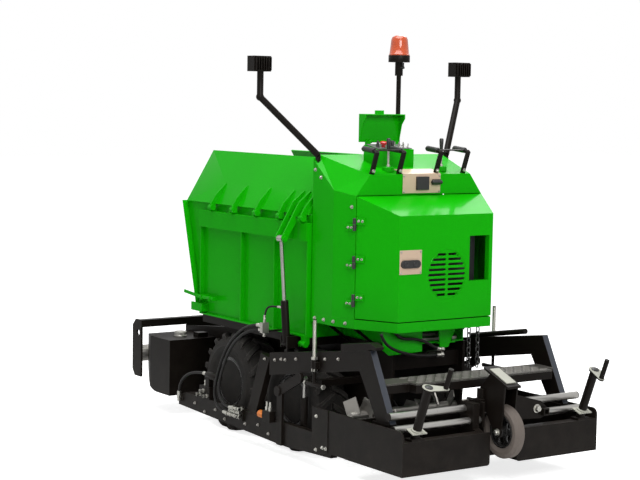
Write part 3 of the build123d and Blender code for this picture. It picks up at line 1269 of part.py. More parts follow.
def support_rim():
    """Spoked rim with a long hub."""
    x, z = SUPPORT_AXLE
    bore = SUPPORT_AXLE_R + RUN_GAP
    profile = [(84, -24), (84, 24), (76, 24), (76, 5), (28, 5), (28, 36), (bore, 36), (bore, -36), (28, -36),
               (28, -5), (76, -5), (76, -24)]
    body = turned(profile, x, 0, z)
    for i in range(SUPPORT_SPOKES):
        turn = radians(360 / SUPPORT_SPOKES * i)
        hole_x, hole_z = x + SPOKE_HOLE_AT * cos(turn), z + SPOKE_HOLE_AT * sin(turn)
        body -= rod((hole_x, -6, hole_z), (hole_x, 6, hole_z), SPOKE_HOLE_R)
    return body


def support_arm():
    """Fork that swings about a cross pin, with a flat lever over the wheel."""
    ax, az = SUPPORT_AXLE
    px, pz = SUPPORT_PIVOT
    pieces = [rod((ax, -46, az), (ax, 46, az), SUPPORT_AXLE_R)]
    for side in (1, -1):
        low, high = sorted((side * 37, side * 45))
        pieces.append(prism_y([(ax - 20, az - 18), (ax + 20, az - 18), (px + 22, pz - 18), (px + 22, pz + 20),
                               (px - 60, pz + 108), (ax - 50, az + 246), (ax - 32, az + 60)], low, high))
    lever = [(ax - 70, az + 232), (px - 8, pz + 124), (px - 8, pz + 136), (ax - 70, az + 244)]
    pieces.append(prism_y(lever, -45, 45))
    body = joined(pieces)
    return body - rod((px, -50, pz), (px, 50, pz), 12 + RUN_GAP)


def support_bracket():
    """Ears with the cross pin, on the plates that hold the guide tubes."""
    px, pz = SUPPORT_PIVOT
    pieces = [rod((px, -62, pz), (px, 62, pz), 12)]
    for side in (1, -1):
        low, high = sorted((side * 50, side * 62))
        pieces.append(block(px - 22, px + 22, low, high, 425, pz + 22))
        low, high = sorted((side * 50, side * 80))
        pieces.append(block(px - 30, px + 30, low, high, 425, 440))
    return pieces


# Auger
AUGER_X = 190.0
AUGER_Z = 290.0
AUGER_R = 95.0
AUGER_SHAFT_R = 24.0
AUGER_END = 480.0
PADDLE_Y = [45.0, 115.0, 185.0, 310.0, 380.0, 450.0]
PADDLE_TURN = 60.0
PADDLE_PITCH = 28.0
PADDLE_T = 8.0
PADDLE_W = 80.0


def auger():
    """Shaft with paddles that stand along two screws, one turned each way."""
    pieces = [rod((AUGER_X, -AUGER_END, AUGER_Z), (AUGER_X, AUGER_END, AUGER_Z), AUGER_SHAFT_R)]
    for side in (1, -1):
        for i, y in enumerate(PADDLE_Y):
            paddle = Pos(AUGER_X, side * y, AUGER_Z) * Rot(0, side * i * PADDLE_TURN, 0)
            paddle = paddle * Pos(AUGER_R / 2, 0, 0) * Rot(side * PADDLE_PITCH, 0, 0)
            pieces.append(paddle * Box(AUGER_R, PADDLE_T, PADDLE_W))
    return joined(pieces)


def auger_hanger():
    """Bearing plate under the rear of the left rail."""
    y0, y1 = RAIL_Y - RAIL_T, RAIL_Y
    top = RAIL_TAIL_Z + 10
    foot = AUGER_Z - 40
    plate = prism_y([(RAIL_REAR_X, top), (AUGER_X + 60, top), (AUGER_X + 40, foot), (AUGER_X - 40, foot)],
                    y0, y1)
    return [plate - rod((AUGER_X, y0 - 1, AUGER_Z), (AUGER_X, y1 + 1, AUGER_Z), AUGER_SHAFT_R + RUN_GAP)]


def nodes():
    made = {"chassis_frame": chassis_frame()}
    for name, x in WHEEL_X.items():
        made[f"axle_{name}"] = axle(x)
        for side, turn in (("left", lambda s: s), ("right", mirrored)):
            made[f"tyre_{name}_{side}"] = turn(tyre(x))
            made[f"rim_{name}_{side}"] = turn(rim(x))
    for side, turn in (("left", lambda s: s), ("right", mirrored)):
        made[f"hopper_{side}_wall"] = turn(hopper_side())
        made[f"wing_{side}"] = turn(wing())
        made[f"wing_barrel_{side}"] = turn(wing_barrel())
        made[f"wing_rod_{side}"] = turn(wing_rod())
        made[f"hood_{side}_panel"] = turn(hood_side())
        made[f"work_lamp_{side}"] = turn(lamp())
        made[f"tank_{side}"] = turn(tank())
        made[f"screed_extension_{side}"] = turn(extension())
    made["tow_arm_left"] = tow_arm(arch_cap())
    made["tow_arm_right"] = mirrored(tow_arm(arch_tube()))
    made["crank_left"] = crank(75)
    made["crank_right"] = mirrored(crank(20))
    single = [hopper_rear_wall, hopper_floor, conveyor, conveyor_tunnel, hood_base, hood_deck,
              hood_door, door_vent, door_hinges, console_box, console_lid, joysticks, beacon_pole,
              beacon_dome, bumper, push_rollers, lift_barrels, lift_rods, screed_base, guide_tubes,
              platform, step_mesh, support_tyre,
              support_rim, support_arm, auger]
    for make in single:
        made[make.__name__] = make()
    made["hopper_gate"] = gate()
    made["engine_block"] = engine()
    made["lever_guards"] = guards()
    return made


def centred(made):
    """All pieces moved along X so that the origin is under the middle of the machine."""
    boxes = [shape.bounding_box() for shape in made.values()]
    middle = (min(b.min.X for b in boxes) + max(b.max.X for b in boxes)) / 2
    return {name: shape.moved(Location((-middle, 0, 0))) for name, shape in made.items()}, middle


def main():
    os.makedirs("parts", exist_ok=True)
    made, middle = centred(nodes())
    for name, shape in made.items():
        export_step(shape, f"parts/{name}.step")
    print(f"{len(made)} nodes, moved by {-middle:.3f} mm along X")


if __name__ == "__main__":
    main()
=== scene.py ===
"""Looks of a small wheeled asphalt paver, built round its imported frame."""
import json
from math import cos, pi, radians, sin

import bmesh
import bpy
from mathutils import Matrix, Vector


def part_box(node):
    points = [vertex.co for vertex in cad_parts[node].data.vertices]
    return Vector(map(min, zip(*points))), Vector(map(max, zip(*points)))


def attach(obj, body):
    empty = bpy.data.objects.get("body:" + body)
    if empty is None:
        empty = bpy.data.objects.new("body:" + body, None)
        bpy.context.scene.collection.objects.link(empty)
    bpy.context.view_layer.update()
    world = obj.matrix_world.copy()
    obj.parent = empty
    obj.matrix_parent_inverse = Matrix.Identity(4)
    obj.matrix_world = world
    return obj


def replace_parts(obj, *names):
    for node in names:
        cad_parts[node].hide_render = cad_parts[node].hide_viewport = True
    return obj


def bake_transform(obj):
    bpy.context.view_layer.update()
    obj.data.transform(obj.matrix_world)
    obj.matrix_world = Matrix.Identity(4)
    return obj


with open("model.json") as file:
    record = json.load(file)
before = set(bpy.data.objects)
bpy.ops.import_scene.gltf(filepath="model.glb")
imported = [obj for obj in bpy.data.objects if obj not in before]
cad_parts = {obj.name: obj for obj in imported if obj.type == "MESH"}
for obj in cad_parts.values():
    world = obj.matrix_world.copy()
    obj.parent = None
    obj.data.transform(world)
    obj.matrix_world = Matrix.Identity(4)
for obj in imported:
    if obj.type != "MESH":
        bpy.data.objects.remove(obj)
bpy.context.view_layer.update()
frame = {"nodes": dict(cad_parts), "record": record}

# Places are in metres, from the rear face of the hood forward, to the left and up from the ground
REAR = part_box("hood_door")[0][0]
UP = Vector((0, 0, 1))
LEFT = Vector((0, 1, 0))
BACK = Vector((-1, 0, 0))


def at(x, y, z):
    return Vector((REAR + x, y, z))


# Camera, as solved from the photograph: angles in degrees, down and clockwise positive
CAMERA_AT = at(-6.787, 5.500, 1.967)
CAMERA_YAW = 34.57
CAMERA_PITCH = 4.91
CAMERA_ROLL = 0.99
CAMERA_LENS = 92.2
CAMERA_SENSOR = 36.0

# Driving sizes, as in the solids
TYRE_R = 0.292
TYRE_HALF = 0.106
RIM_R = 0.140
WHEEL_Y = 0.394
WHEEL_X = {"front": 1.410, "rear": 0.740}
SIDES = {"left": 1, "right": -1}
DECK_REAR = (0.237, 1.570)
DECK_FRONT = (0.598, 1.665)
HOOD_REAR_Y = 0.318
HOOD_SIDE_Y = 0.462
ARM_FACE_Y = 0.6055
CHEEK_FACE_Y = 0.6535


def deck_z(x):
    share = (x - DECK_REAR[0]) / (DECK_FRONT[0] - DECK_REAR[0])
    return DECK_REAR[1] + share * (DECK_FRONT[1] - DECK_REAR[1])


# Node helpers
def set_inputs(tree, node, inputs):
    """Link a node's inputs to sockets, or set them to values."""
    for key, value in inputs.items():
        if isinstance(value, bpy.types.NodeSocket):
            tree.links.new(value, node.inputs[key])
        else:
            node.inputs[key].default_value = value


def add(tree, kind, inputs=None, **attributes):
    made = tree.nodes.new(kind)
    for key, value in attributes.items():
        setattr(made, key, value)
    set_inputs(tree, made, inputs or {})
    return made


def calc(tree, operation, a, b):
    return add(tree, "ShaderNodeMath", {0: a, 1: b}, operation=operation).outputs[0]


def remap(tree, value, low, high, to_low, to_high):
    return add(tree, "ShaderNodeMapRange", {0: value, 1: low, 2: high, 3: to_low, 4: to_high}).outputs[0]


def mix_colour(tree, share, a, b):
    return add(tree, "ShaderNodeMix", {0: share, 6: a, 7: b}, data_type="RGBA").outputs[2]


def noise(tree, coords, scale, detail=3.0, rough=0.55):
    inputs = {"Vector": coords, "Scale": scale, "Detail": detail, "Roughness": rough}
    return add(tree, "ShaderNodeTexNoise", inputs).outputs[0]


def object_coords(tree):
    return add(tree, "ShaderNodeTexCoord").outputs["Object"]


def group(name, inputs, outputs):
    """A new node group with the sockets of its two ends."""
    tree = bpy.data.node_groups.new(name, "ShaderNodeTree")
    for label, kind, value in inputs:
        socket = tree.interface.new_socket(label, in_out="INPUT", socket_type=kind)
        socket.default_value = value
    for label, kind in outputs:
        tree.interface.new_socket(label, in_out="OUTPUT", socket_type=kind)
    start = tree.nodes.new("NodeGroupInput")
    end = tree.nodes.new("NodeGroupOutput")
    return tree, start.outputs, end.inputs


COLOUR, VALUE = "NodeSocketColor", "NodeSocketFloat"
GREY = (0.5, 0.5, 0.5, 1.0)
WHITE = (1.0, 1.0, 1.0, 1.0)


# Effects that several finishes share
def paint_skin():
    """Slow changes of tone and an orange-peel height for sprayed paint."""
    inputs = [("Colour", COLOUR, GREY), ("Shade", VALUE, 0.1), ("Rough", VALUE, 0.4)]
    outputs = [("Colour", COLOUR), ("Rough", VALUE), ("Height", VALUE)]
    tree, given, out = group("paint_skin", inputs, outputs)
    coords = object_coords(tree)
    slow = noise(tree, coords, 2.3)
    quick = noise(tree, coords, 46.0, 5.0)
    tone = calc(tree, "ADD", calc(tree, "MULTIPLY", slow, 0.7), calc(tree, "MULTIPLY", quick, 0.3))
    swing = calc(tree, "MULTIPLY", calc(tree, "SUBTRACT", tone, 0.5), given["Shade"])
    lift = calc(tree, "ADD", calc(tree, "MULTIPLY", swing, 4.0), 1.0)
    scaled = add(tree, "ShaderNodeVectorMath", {0: given["Colour"], "Scale": lift}, operation="SCALE")
    tree.links.new(scaled.outputs[0], out["Colour"])
    tree.links.new(calc(tree, "ADD", given["Rough"], swing), out["Rough"])
    tree.links.new(noise(tree, coords, 520.0, 2.0), out["Height"])
    return tree


def dust_film():
    """Road dust that thins out with height and gathers in blotches and on flat tops."""
    inputs = [("Colour", COLOUR, GREY), ("Dust", COLOUR, GREY), ("Amount", VALUE, 0.3),
              ("Clean height", VALUE, 0.8)]
    tree, given, out = group("dust_film", inputs, [("Colour", COLOUR), ("Mask", VALUE)])
    coords = object_coords(tree)
    height = add(tree, "ShaderNodeSeparateXYZ", {0: coords}).outputs["Z"]
    low = remap(tree, height, 0.0, given["Clean height"], 1.0, 0.0)
    blotch = remap(tree, noise(tree, coords, 11.0, 7.0, 0.65), 0.38, 0.72, 0.0, 1.0)
    normal = add(tree, "ShaderNodeNewGeometry").outputs["Normal"]
    up = remap(tree, add(tree, "ShaderNodeSeparateXYZ", {0: normal}).outputs["Z"], 0.3, 1.0, 0.55, 1.0)
    mask = calc(tree, "MULTIPLY", calc(tree, "MULTIPLY", low, blotch), up)
    mask = calc(tree, "MULTIPLY", mask, given["Amount"])
    tree.links.new(mix_colour(tree, mask, given["Colour"], given["Dust"]), out["Colour"])
    tree.links.new(mask, out["Mask"])
    return tree


def rubbed_and_highlit_edges():
    """Mask that is high along sharp edges, broken up by noise: wear on most finishes, a painted edge
    highlight on the green paint.
    """
    inputs = [("Radius", VALUE, 0.004), ("Breakup", VALUE, 0.5)]
    tree, given, out = group("rubbed_and_highlit_edges", inputs, [("Mask", VALUE)])
    coords = object_coords(tree)
    rounded = add(tree, "ShaderNodeBevel", {"Radius": given["Radius"]}, samples=4).outputs[0]
    flat = add(tree, "ShaderNodeNewGeometry").outputs["Normal"]
    same = add(tree, "ShaderNodeVectorMath", {0: rounded, 1: flat}, operation="DOT_PRODUCT").outputs["Value"]
    edge = remap(tree, same, 0.99, 0.80, 0.0, 1.0)
    patch = remap(tree, noise(tree, coords, 34.0, 6.0), 0.42, 0.60, 0.0, 1.0)
    kept = calc(tree, "SUBTRACT", 1.0, calc(tree, "MULTIPLY", given["Breakup"], patch))
    tree.links.new(calc(tree, "MULTIPLY", edge, kept), out["Mask"])
    return tree


def drawn_grain():
    """Fine drawn lines and smudges of bare metal."""
    inputs = [("Rough", VALUE, 0.25), ("Smudge", VALUE, 0.1)]
    tree, given, out = group("drawn_grain", inputs, [("Rough", VALUE), ("Height", VALUE), ("Tone", VALUE)])
    coords = object_coords(tree)
    drawn = add(tree, "ShaderNodeMapping", {"Vector": coords, "Scale": (40.0, 40.0, 900.0)}).outputs[0]
    lines = noise(tree, drawn, 1.0, 2.0)
    smudge = noise(tree, coords, 18.0, 5.0)
    swing = calc(tree, "MULTIPLY", calc(tree, "SUBTRACT", smudge, 0.4), given["Smudge"])
    tree.links.new(calc(tree, "ADD", given["Rough"], calc(tree, "MULTIPLY", swing, 2.0)), out["Rough"])
    tree.links.new(lines, out["Height"])
    tree.links.new(remap(tree, smudge, 0.3, 0.7, 0.8, 1.1), out["Tone"])
    return tree


PAINT_SKIN = paint_skin()
DUST_FILM = dust_film()
RUBBED_AND_HIGHLIT_EDGES = rubbed_and_highlit_edges()
DRAWN_GRAIN = drawn_grain()
ROAD_DUST = (0.16, 0.13, 0.105, 1.0)
SCUFFED = (0.055, 0.050, 0.045, 1.0)
RUBBER_CLEAN = 0.75
SMUDGE_DARK = 0.72


# Finishes
def start_material(name):
    material = bpy.data.materials.new(name)
    material.use_nodes = True
    tree = material.node_tree
    return material, tree, tree.nodes["Principled BSDF"]


def fill_group(tree, node_group, inputs):
    return add(tree, "ShaderNodeGroup", inputs, node_tree=node_group).outputs


def skin_of(tree, colour, shade, rough):
    return fill_group(tree, PAINT_SKIN, {"Colour": (*colour, 1.0), "Shade": shade, "Rough": rough})


def edged(tree, colour, edge_colour, radius, breakup, share):
    """A colour that gives way to another along its edges: wear, and on the green paint a painted edge
    highlight.
    """
    edges = fill_group(tree, RUBBED_AND_HIGHLIT_EDGES, {"Radius": radius, "Breakup": breakup})
    return mix_colour(tree, calc(tree, "MULTIPLY", edges["Mask"], share), colour, edge_colour)


def dusted(tree, colour, dust, clean):
    inputs = {"Colour": colour, "Dust": ROAD_DUST, "Amount": dust, "Clean height": clean}
    return fill_group(tree, DUST_FILM, inputs)


def bump(tree, shader, height, strength, distance):
    made = add(tree, "ShaderNodeBump", {"Height": height, "Strength": strength, "Distance": distance})
    tree.links.new(made.outputs[0], shader.inputs["Normal"])


def painted(name, colour, rough, worn, shade=0.10, dust=0.25, clean=0.9, rubbed_and_highlight_share=0.35, coat=0.0, gloss=0.5):
    """Sprayed steel: tone, orange peel, dust from below and lighter edges, worn on most paints and a painted
    edge highlight on the green.
    """
    material, tree, shader = start_material(name)
    skin = skin_of(tree, colour, shade, rough)
    rubbed_and_highlit_colour = edged(tree, skin["Colour"], (*worn, 1.0), 0.004, 0.75, rubbed_and_highlight_share)
    film = dusted(tree, rubbed_and_highlit_colour, dust, clean)
    rough_all = calc(tree, "ADD", skin["Rough"], calc(tree, "MULTIPLY", film["Mask"], 0.4))
    set_inputs(tree, shader, {"Base Color": film["Colour"], "Roughness": rough_all, "Coat Weight": coat,
                              "Coat Roughness": 0.12, "Specular IOR Level": gloss})
    bump(tree, shader, skin["Height"], 0.12, 0.0006)
    return material


def metal(name, colour, rough, smudge=0.12, grain=0.08):
    """Bare metal with drawn lines, darker where it is smudged."""
    material, tree, shader = start_material(name)
    drawn = fill_group(tree, DRAWN_GRAIN, {"Rough": rough, "Smudge": smudge})
    dark = tuple(SMUDGE_DARK * c for c in colour)
    tint = mix_colour(tree, drawn["Tone"], (*dark, 1.0), (*colour, 1.0))
    set_inputs(tree, shader, {"Base Color": tint, "Roughness": drawn["Rough"], "Metallic": 1.0})
    bump(tree, shader, drawn["Height"], grain, 0.0004)
    return material


def rubber(name, colour, rough, dust, scuff=0.0):
    """Matte rubber with a fine grain, scuffed edges and dust in its blotches."""
    material, tree, shader = start_material(name)
    skin = skin_of(tree, colour, 0.16, rough)
    film = dusted(tree, edged(tree, skin["Colour"], SCUFFED, 0.009, 0.45, scuff), dust, RUBBER_CLEAN)
    set_inputs(tree, shader, {"Base Color": film["Colour"], "Roughness": skin["Rough"],
                              "Specular IOR Level": 0.25})
    bump(tree, shader, skin["Height"], 0.35, 0.0008)
    return material


def plastic(name, colour, rough, coat=0.0):
    material, tree, shader = start_material(name)
    skin = skin_of(tree, colour, 0.06, rough)
    set_inputs(tree, shader, {"Base Color": skin["Colour"], "Roughness": skin["Rough"], "Coat Weight": coat})
    bump(tree, shader, skin["Height"], 0.1, 0.0004)
    return material


PAINTS = {
    # The green's lighter edge tint is a painted edge highlight on new paint, not wear
    "green_paint": dict(colour=(0.005, 0.355, 0.0012), rough=0.42, worn=(0.04, 0.48, 0.015), shade=0.05,
                        dust=0.02, clean=1.2, rubbed_and_highlight_share=0.4, coat=0.17, gloss=0.02),
    "black_steel": dict(colour=(0.0062, 0.0046, 0.0036), rough=0.40, worn=(0.06, 0.056, 0.05), shade=0.14,
                        dust=0.12, clean=0.55, rubbed_and_highlight_share=0.4, gloss=0.10),
    "rim_black": dict(colour=(0.012, 0.0115, 0.011), rough=0.26, worn=(0.2, 0.2, 0.2), shade=0.12, dust=0.08,
                      clean=0.6, rubbed_and_highlight_share=0.4),
    "latch_steel": dict(colour=(0.54, 0.40, 0.29), rough=0.34, worn=(0.75, 0.66, 0.55), dust=0.0, rubbed_and_highlight_share=0.5),
    "pale_paint": dict(colour=(0.34, 0.34, 0.29), rough=0.5, worn=(0.10, 0.10, 0.09), shade=0.16, rubbed_and_highlight_share=0.8),
    # Bluish painted sheen for the rear faces of the legs
    "leg_sheen": dict(colour=(0.022, 0.027, 0.038), rough=0.30, worn=(0.16, 0.17, 0.19), shade=0.14,
                      dust=0.12, clean=0.6, rubbed_and_highlight_share=0.5),
    "mesh_steel": dict(colour=(0.040, 0.037, 0.033), rough=0.5, worn=(0.25, 0.24, 0.22), shade=0.25, dust=0.2,
                       clean=0.8, rubbed_and_highlight_share=0.9, gloss=0.3),
    "panel_grey": dict(colour=(0.16, 0.16, 0.165), rough=0.38, worn=(0.4, 0.4, 0.4), dust=0.0),
}
RUBBERS = {
    "tyre_rubber": dict(colour=(0.013, 0.012, 0.011), rough=0.78, dust=0.22, scuff=0.9),
    "grey_rubber": dict(colour=(0.125, 0.105, 0.092), rough=0.7, dust=0.3),
    "hose_rubber": dict(colour=(0.006, 0.0056, 0.0053), rough=0.5, dust=0.08),
}
METALS = {
    "bright_steel": dict(colour=(0.40, 0.39, 0.37), rough=0.30),
    "worn_steel": dict(colour=(0.34, 0.325, 0.30), rough=0.42, smudge=0.3, grain=0.2),
    "engine_alloy": dict(colour=(0.035, 0.035, 0.037), rough=0.5, smudge=0.3, grain=0.2),
    "zinc": dict(colour=(0.46, 0.45, 0.41), rough=0.34, smudge=0.2),
}
PLASTICS = {
    "black_plastic": dict(colour=(0.012, 0.012, 0.012), rough=0.45),
    "amber_dome": dict(colour=(0.42, 0.050, 0.003), rough=0.16, coat=0.35),
    "red_plastic": dict(colour=(0.52, 0.012, 0.010), rough=0.3, coat=0.4),
    "orange_coil": dict(colour=(0.62, 0.17, 0.02), rough=0.45),
    "lamp_lens": dict(colour=(0.66, 0.68, 0.70), rough=0.08, coat=0.6),
}
FINISH = {}
for make_finish, table in ((painted, PAINTS), (rubber, RUBBERS), (metal, METALS), (plastic, PLASTICS)):
    for finish_name, finish_values in table.items():
        FINISH[finish_name] = make_finish(finish_name, **finish_values)

# Slots of the record: each solid's own, and the one that each finish of the scene alone stands in
SLOT_OF = {part["node"]: part["material_slot"] for part in frame["record"]["subparts"]}
FINISH_OF = {"guide_tubes": "black_steel", "step_mesh": "mesh_steel", "door_hinges": "green_paint"}


# Dress the solids: their finish, and small roundings that catch the light
EDGE = {"green_paint": 0.0025, "black_steel": 0.002, "rim_black": 0.0015, "worn_steel": 0.0015,
        "black_plastic": 0.002}
EDGE_ANGLE = radians(38)
WELD_WITHIN = 0.00005


def round_edges(obj, width, harden=False):
    soft = obj.modifiers.new("edges", "BEVEL")
    soft.width = width
    soft.segments = 2
    soft.limit_method = "ANGLE"
    soft.angle_limit = EDGE_ANGLE
    soft.harden_normals = harden


def dress_solid(name, solid):
    slot = FINISH_OF.get(name, SLOT_OF[name])
    finish = FINISH[slot]
    if not solid.material_slots:
        solid.data.materials.append(finish)
    for held in solid.material_slots:
        held.link = "OBJECT"
        held.material = finish
    if slot in EDGE:
        weld = solid.modifiers.new("weld", "WELD")
        weld.merge_threshold = WELD_WITHIN
        round_edges(solid, EDGE[slot], harden=True)


for node_name, node_object in frame["nodes"].items():
    dress_solid(node_name, node_object)


# Mesh helpers
def new_object(name, finish, build):
    """A smooth object whose mesh the build function fills."""
    made = bmesh.new()
    build(made)
    bmesh.ops.recalc_face_normals(made, faces=made.faces)
    mesh = bpy.data.meshes.new(name)
    made.to_mesh(mesh)
    made.free()
    mesh.materials.append(FINISH[finish])
    for face in mesh.polygons:
        face.use_smooth = True
    obj = bpy.data.objects.new(name, mesh)
    bpy.context.scene.collection.objects.link(obj)
    return obj


def piece(name, body, finish, build, edge=0.0, smooth=40.0):
    """A new piece riding on a body, sharp where faces meet at more than an angle in degrees."""
    obj = new_object(name, finish, build)
    obj.data.set_sharp_from_angle(angle=radians(smooth))
    if edge:
        round_edges(obj, edge)
    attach(obj, body)
    return obj


def frame_for(axis):
    """Two directions square to the axis and to each other, and the axis."""
    axis = Vector(axis).normalized()
    side = UP if abs(axis.z) < 0.9 else Vector((1, 0, 0))
    first = axis.cross(side).normalized()
    return first, axis.cross(first).normalized(), axis


def ring_of(centre, first, second, radius, steps, start=0.0):
    """Points round a centre, in the plane of two directions."""
    points = []
    for i in range(steps):
        turn = start + 2 * pi * i / steps
        points.append(centre + (first * cos(turn) + second * sin(turn)) * radius)
    return points


def obround(ends, radii, along, across, steps):
    """Outline of two half circles; the first end lies further along."""
    points = []
    for centre, radius, start in zip(ends, radii, (-90, 90)):
        for i in range(steps + 1):
            turn = radians(start + 180 * i / steps)
            points.append(centre + along * (radius * cos(turn)) + across * (radius * sin(turn)))
    return points


def sloped(first, second, y0, y1):
    """Corners of a rectangle between two (x, z) edges that run across the machine."""
    (x0, z0), (x1, z1) = first, second
    return [at(x0, y0, z0), at(x1, y0, z1), at(x1, y1, z1), at(x0, y1, z0)]


def add_rings(made, rings, loop=False):
    """Skin of quads over rings of points, closed at both ends or led round to the first ring again."""
    rows = [[made.verts.new(point) for point in ring] for ring in rings]
    count = len(rows[0])
    following = rows[1:] + rows[:1] if loop else rows[1:]
    for low, high in zip(rows, following):
        for i in range(count):
            j = (i + 1) % count
            made.faces.new((low[i], low[j], high[j], high[i]))
    if not loop:
        made.faces.new(rows[0][::-1])
        made.faces.new(rows[-1])


def add_turned(made, centre, axis, profile, steps):
    """A body turned about an axis from (radius, along) points; radius 0 at an end closes it in a point."""
    first, second, axis = frame_for(axis)
    rings = []
    for radius, along in profile:
        rings.append(ring_of(centre + axis * along, first, second, max(radius, 0.0002), steps))
    add_rings(made, rings)


def add_hoop(made, centre, axis, profile, steps):
    """A ring turned about an axis from a closed outline of (radius, along) points."""
    first, second, axis = frame_for(axis)
    rings = []
    for i in range(steps):
        turn = 2 * pi * i / steps
        out = first * cos(turn) + second * sin(turn)
        rings.append([centre + axis * along + out * radius for radius, along in profile])
    add_rings(made, rings, loop=True)


def add_ribbed(made, centre, profile, depth, grooved, steps):
    """An upright turned body with every second point drawn in between two heights."""
    rings = []
    for radius, along in profile:
        groove = depth if grooved[0] < along < grooved[1] else 0.0
        ring = []
        for i in range(steps):
            turn = 2 * pi * i / steps
            reach = radius - groove * (i % 2)
            ring.append(centre + Vector((reach * cos(turn), reach * sin(turn), along)))
        rings.append(ring)
    add_rings(made, rings)


def add_rod(made, start, end, radius, steps, chamfer=0.0):
    length = (end - start).length
    profile = [(radius, 0.0), (radius, length)]
    if chamfer:
        tip = radius - chamfer
        profile = [(tip, 0.0), (radius, chamfer), (radius, length - chamfer), (tip, length)]
    add_turned(made, start, end - start, profile, steps)


def add_box(made, low, high):
    low, high = Vector(low), Vector(high)
    place_at = Matrix.Translation((low + high) / 2) @ Matrix.Diagonal((*(high - low), 1.0))
    bmesh.ops.create_cube(made, size=1.0, matrix=place_at)


def add_plate(made, outline, thick):
    """A flat plate from its outline, thickened along a vector."""
    thick = Vector(thick)
    add_rings(made, [outline, [point + thick for point in outline]])


def add_bolt(made, point, normal, across, turn):
    """Washer and hexagon head with a chamfered top."""
    first, second, normal = frame_for(normal)
    washer = [(across * 0.78, -0.0015), (across * 0.78, 0.0016), (across * 0.70, 0.0024)]
    add_turned(made, point, normal, washer, 20)
    rings = []
    for radius, along in ((0.577, 0.0), (0.577, 0.48), (0.50, 0.60)):
        middle = point + normal * (0.002 + along * across)
        rings.append(ring_of(middle, first, second, radius * across, 6, turn))
    add_rings(made, rings)


# Pieces of one repeated form
def bolts(name, body, places, across, finish="zinc"):
    def build(made):
        for i, (point, normal) in enumerate(places):
            add_bolt(made, point, normal, across, 0.4 * i)
    return piece(name, body, finish, build)


def boxes(name, body, finish, spans, edge):
    def build(made):
        for low, high in spans:
            add_box(made, low, high)
    return piece(name, body, finish, build, edge)


def rods(name, body, finish, spans, radius, steps, chamfer=0.0):
    def build(made):
        for start, end in spans:
            add_rod(made, start, end, radius, steps, chamfer)
    return piece(name, body, finish, build)


def turned(name, body, finish, places, axis, profile, steps):
    def build(made):
        for place in places:
            add_turned(made, place, axis, profile, steps)
    return piece(name, body, finish, build)


# Tyres: a rounded carcass with crossed rows of lugs
CARCASS_R = 0.268
LUG_COUNT = 17
LUG_SWEEP = 0.25
LUG_TOP = 0.030
LUG_FOOT = 0.045
SHOULDER = 0.95
LUG_DROPS = ((-0.06, 0.004), (0.0, 0.0), (0.35, 0.0), (0.68, 0.001), (0.90, 0.006), (1.0, 0.020),
             (1.02, 0.046))


def tyre_profile():
    half = TYRE_HALF
    sidewall = [(RIM_R + 0.001, half - 0.026), (RIM_R + 0.012, half - 0.012), (RIM_R + 0.034, half - 0.005),
                (RIM_R + 0.040, half - 0.001), (RIM_R + 0.074, half), (RIM_R + 0.080, half - 0.004),
                (CARCASS_R - 0.022, half - 0.007), (CARCASS_R - 0.006, half - 0.020),
                (CARCASS_R, half - 0.046)]
    return [(r, -a) for r, a in sidewall] + [(r, a) for r, a in reversed(sidewall)]


def lug_rings(start_turn, side):
    """Cross-sections of one lug, from the middle of the tread out over the shoulder."""
    rings = []
    for share, drop in LUG_DROPS:
        top = TYRE_R - drop
        foot = min(CARCASS_R, top) - 0.008
        y = side * min(share, 1.0) * (TYRE_HALF - 0.0035)
        lift = 0.0
        if share > SHOULDER:
            foot = top - 0.004
            y *= 0.93
            lift = side * 0.007
        turn = start_turn + LUG_SWEEP * (share + 0.35 * share * share) / 1.35
        ring = []
        for radius, width, rise in ((foot, -LUG_FOOT, 0.0), (top, -LUG_TOP, lift), (top, LUG_TOP, lift),
                                    (foot, LUG_FOOT, 0.0)):
            angle = turn + 0.5 * width / TYRE_R
            ring.append(Vector((radius * cos(angle), y + rise, radius * sin(angle))))
        rings.append(ring)
    return rings


def build_tyre(made, centre):
    add_turned(made, centre, LEFT, tyre_profile(), 72)
    pitch = 2 * pi / LUG_COUNT
    for side, offset in ((1, 0.0), (-1, 0.5)):
        for i in range(LUG_COUNT):
            rings = lug_rings(pitch * (i + offset), side)
            add_rings(made, [[centre + point for point in ring] for ring in rings])


# Rims: a rolled lip, wheel nuts and a domed hub on the solid's dished disc
NUT_COUNT = 8
NUT_AT = 0.064


def build_rim(made, centre, out):
    outward = (0, out, 0)
    lip = [(RIM_R - 0.012, 0.070), (RIM_R - 0.010, 0.086), (RIM_R + 0.002, 0.091), (RIM_R + 0.011, 0.088),
           (RIM_R + 0.011, 0.083), (RIM_R + 0.001, 0.080), (RIM_R - 0.002, 0.070)]
    add_hoop(made, centre, outward, lip, 56)
    hub = [(0.044, 0.028), (0.042, 0.046), (0.034, 0.050), (0.032, 0.058), (0.022, 0.062), (0.0, 0.063)]
    add_turned(made, centre, outward, hub, 36)
    for i in range(NUT_COUNT):
        turn = 2 * pi * i / NUT_COUNT
        spot = centre + Vector((NUT_AT * cos(turn), out * 0.032, NUT_AT * sin(turn)))
        add_bolt(made, spot, outward, 0.017, turn)


def wheels():
    for end, x in WHEEL_X.items():
        for side, out in SIDES.items():
            centre = at(x, out * WHEEL_Y, TYRE_R)
            body = f"wheel_{end}_{side}"
            tyre = piece(f"tyre_detail_{end}_{side}", body, "tyre_rubber",
                         lambda made: build_tyre(made, centre), 0.0015, 34)
            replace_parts(tyre, f"tyre_{end}_{side}")
            piece(f"rim_detail_{end}_{side}", body, "rim_black", lambda made: build_rim(made, centre, out))


wheels()


# Hood: latches with their plates and rivets, and the bolts of its panels
LATCH_Z = 1.112
RIVET = 0.007
TRAY_BOLT_X = (0.300, 0.560)
TRAY_BOLT_COUNT = 4


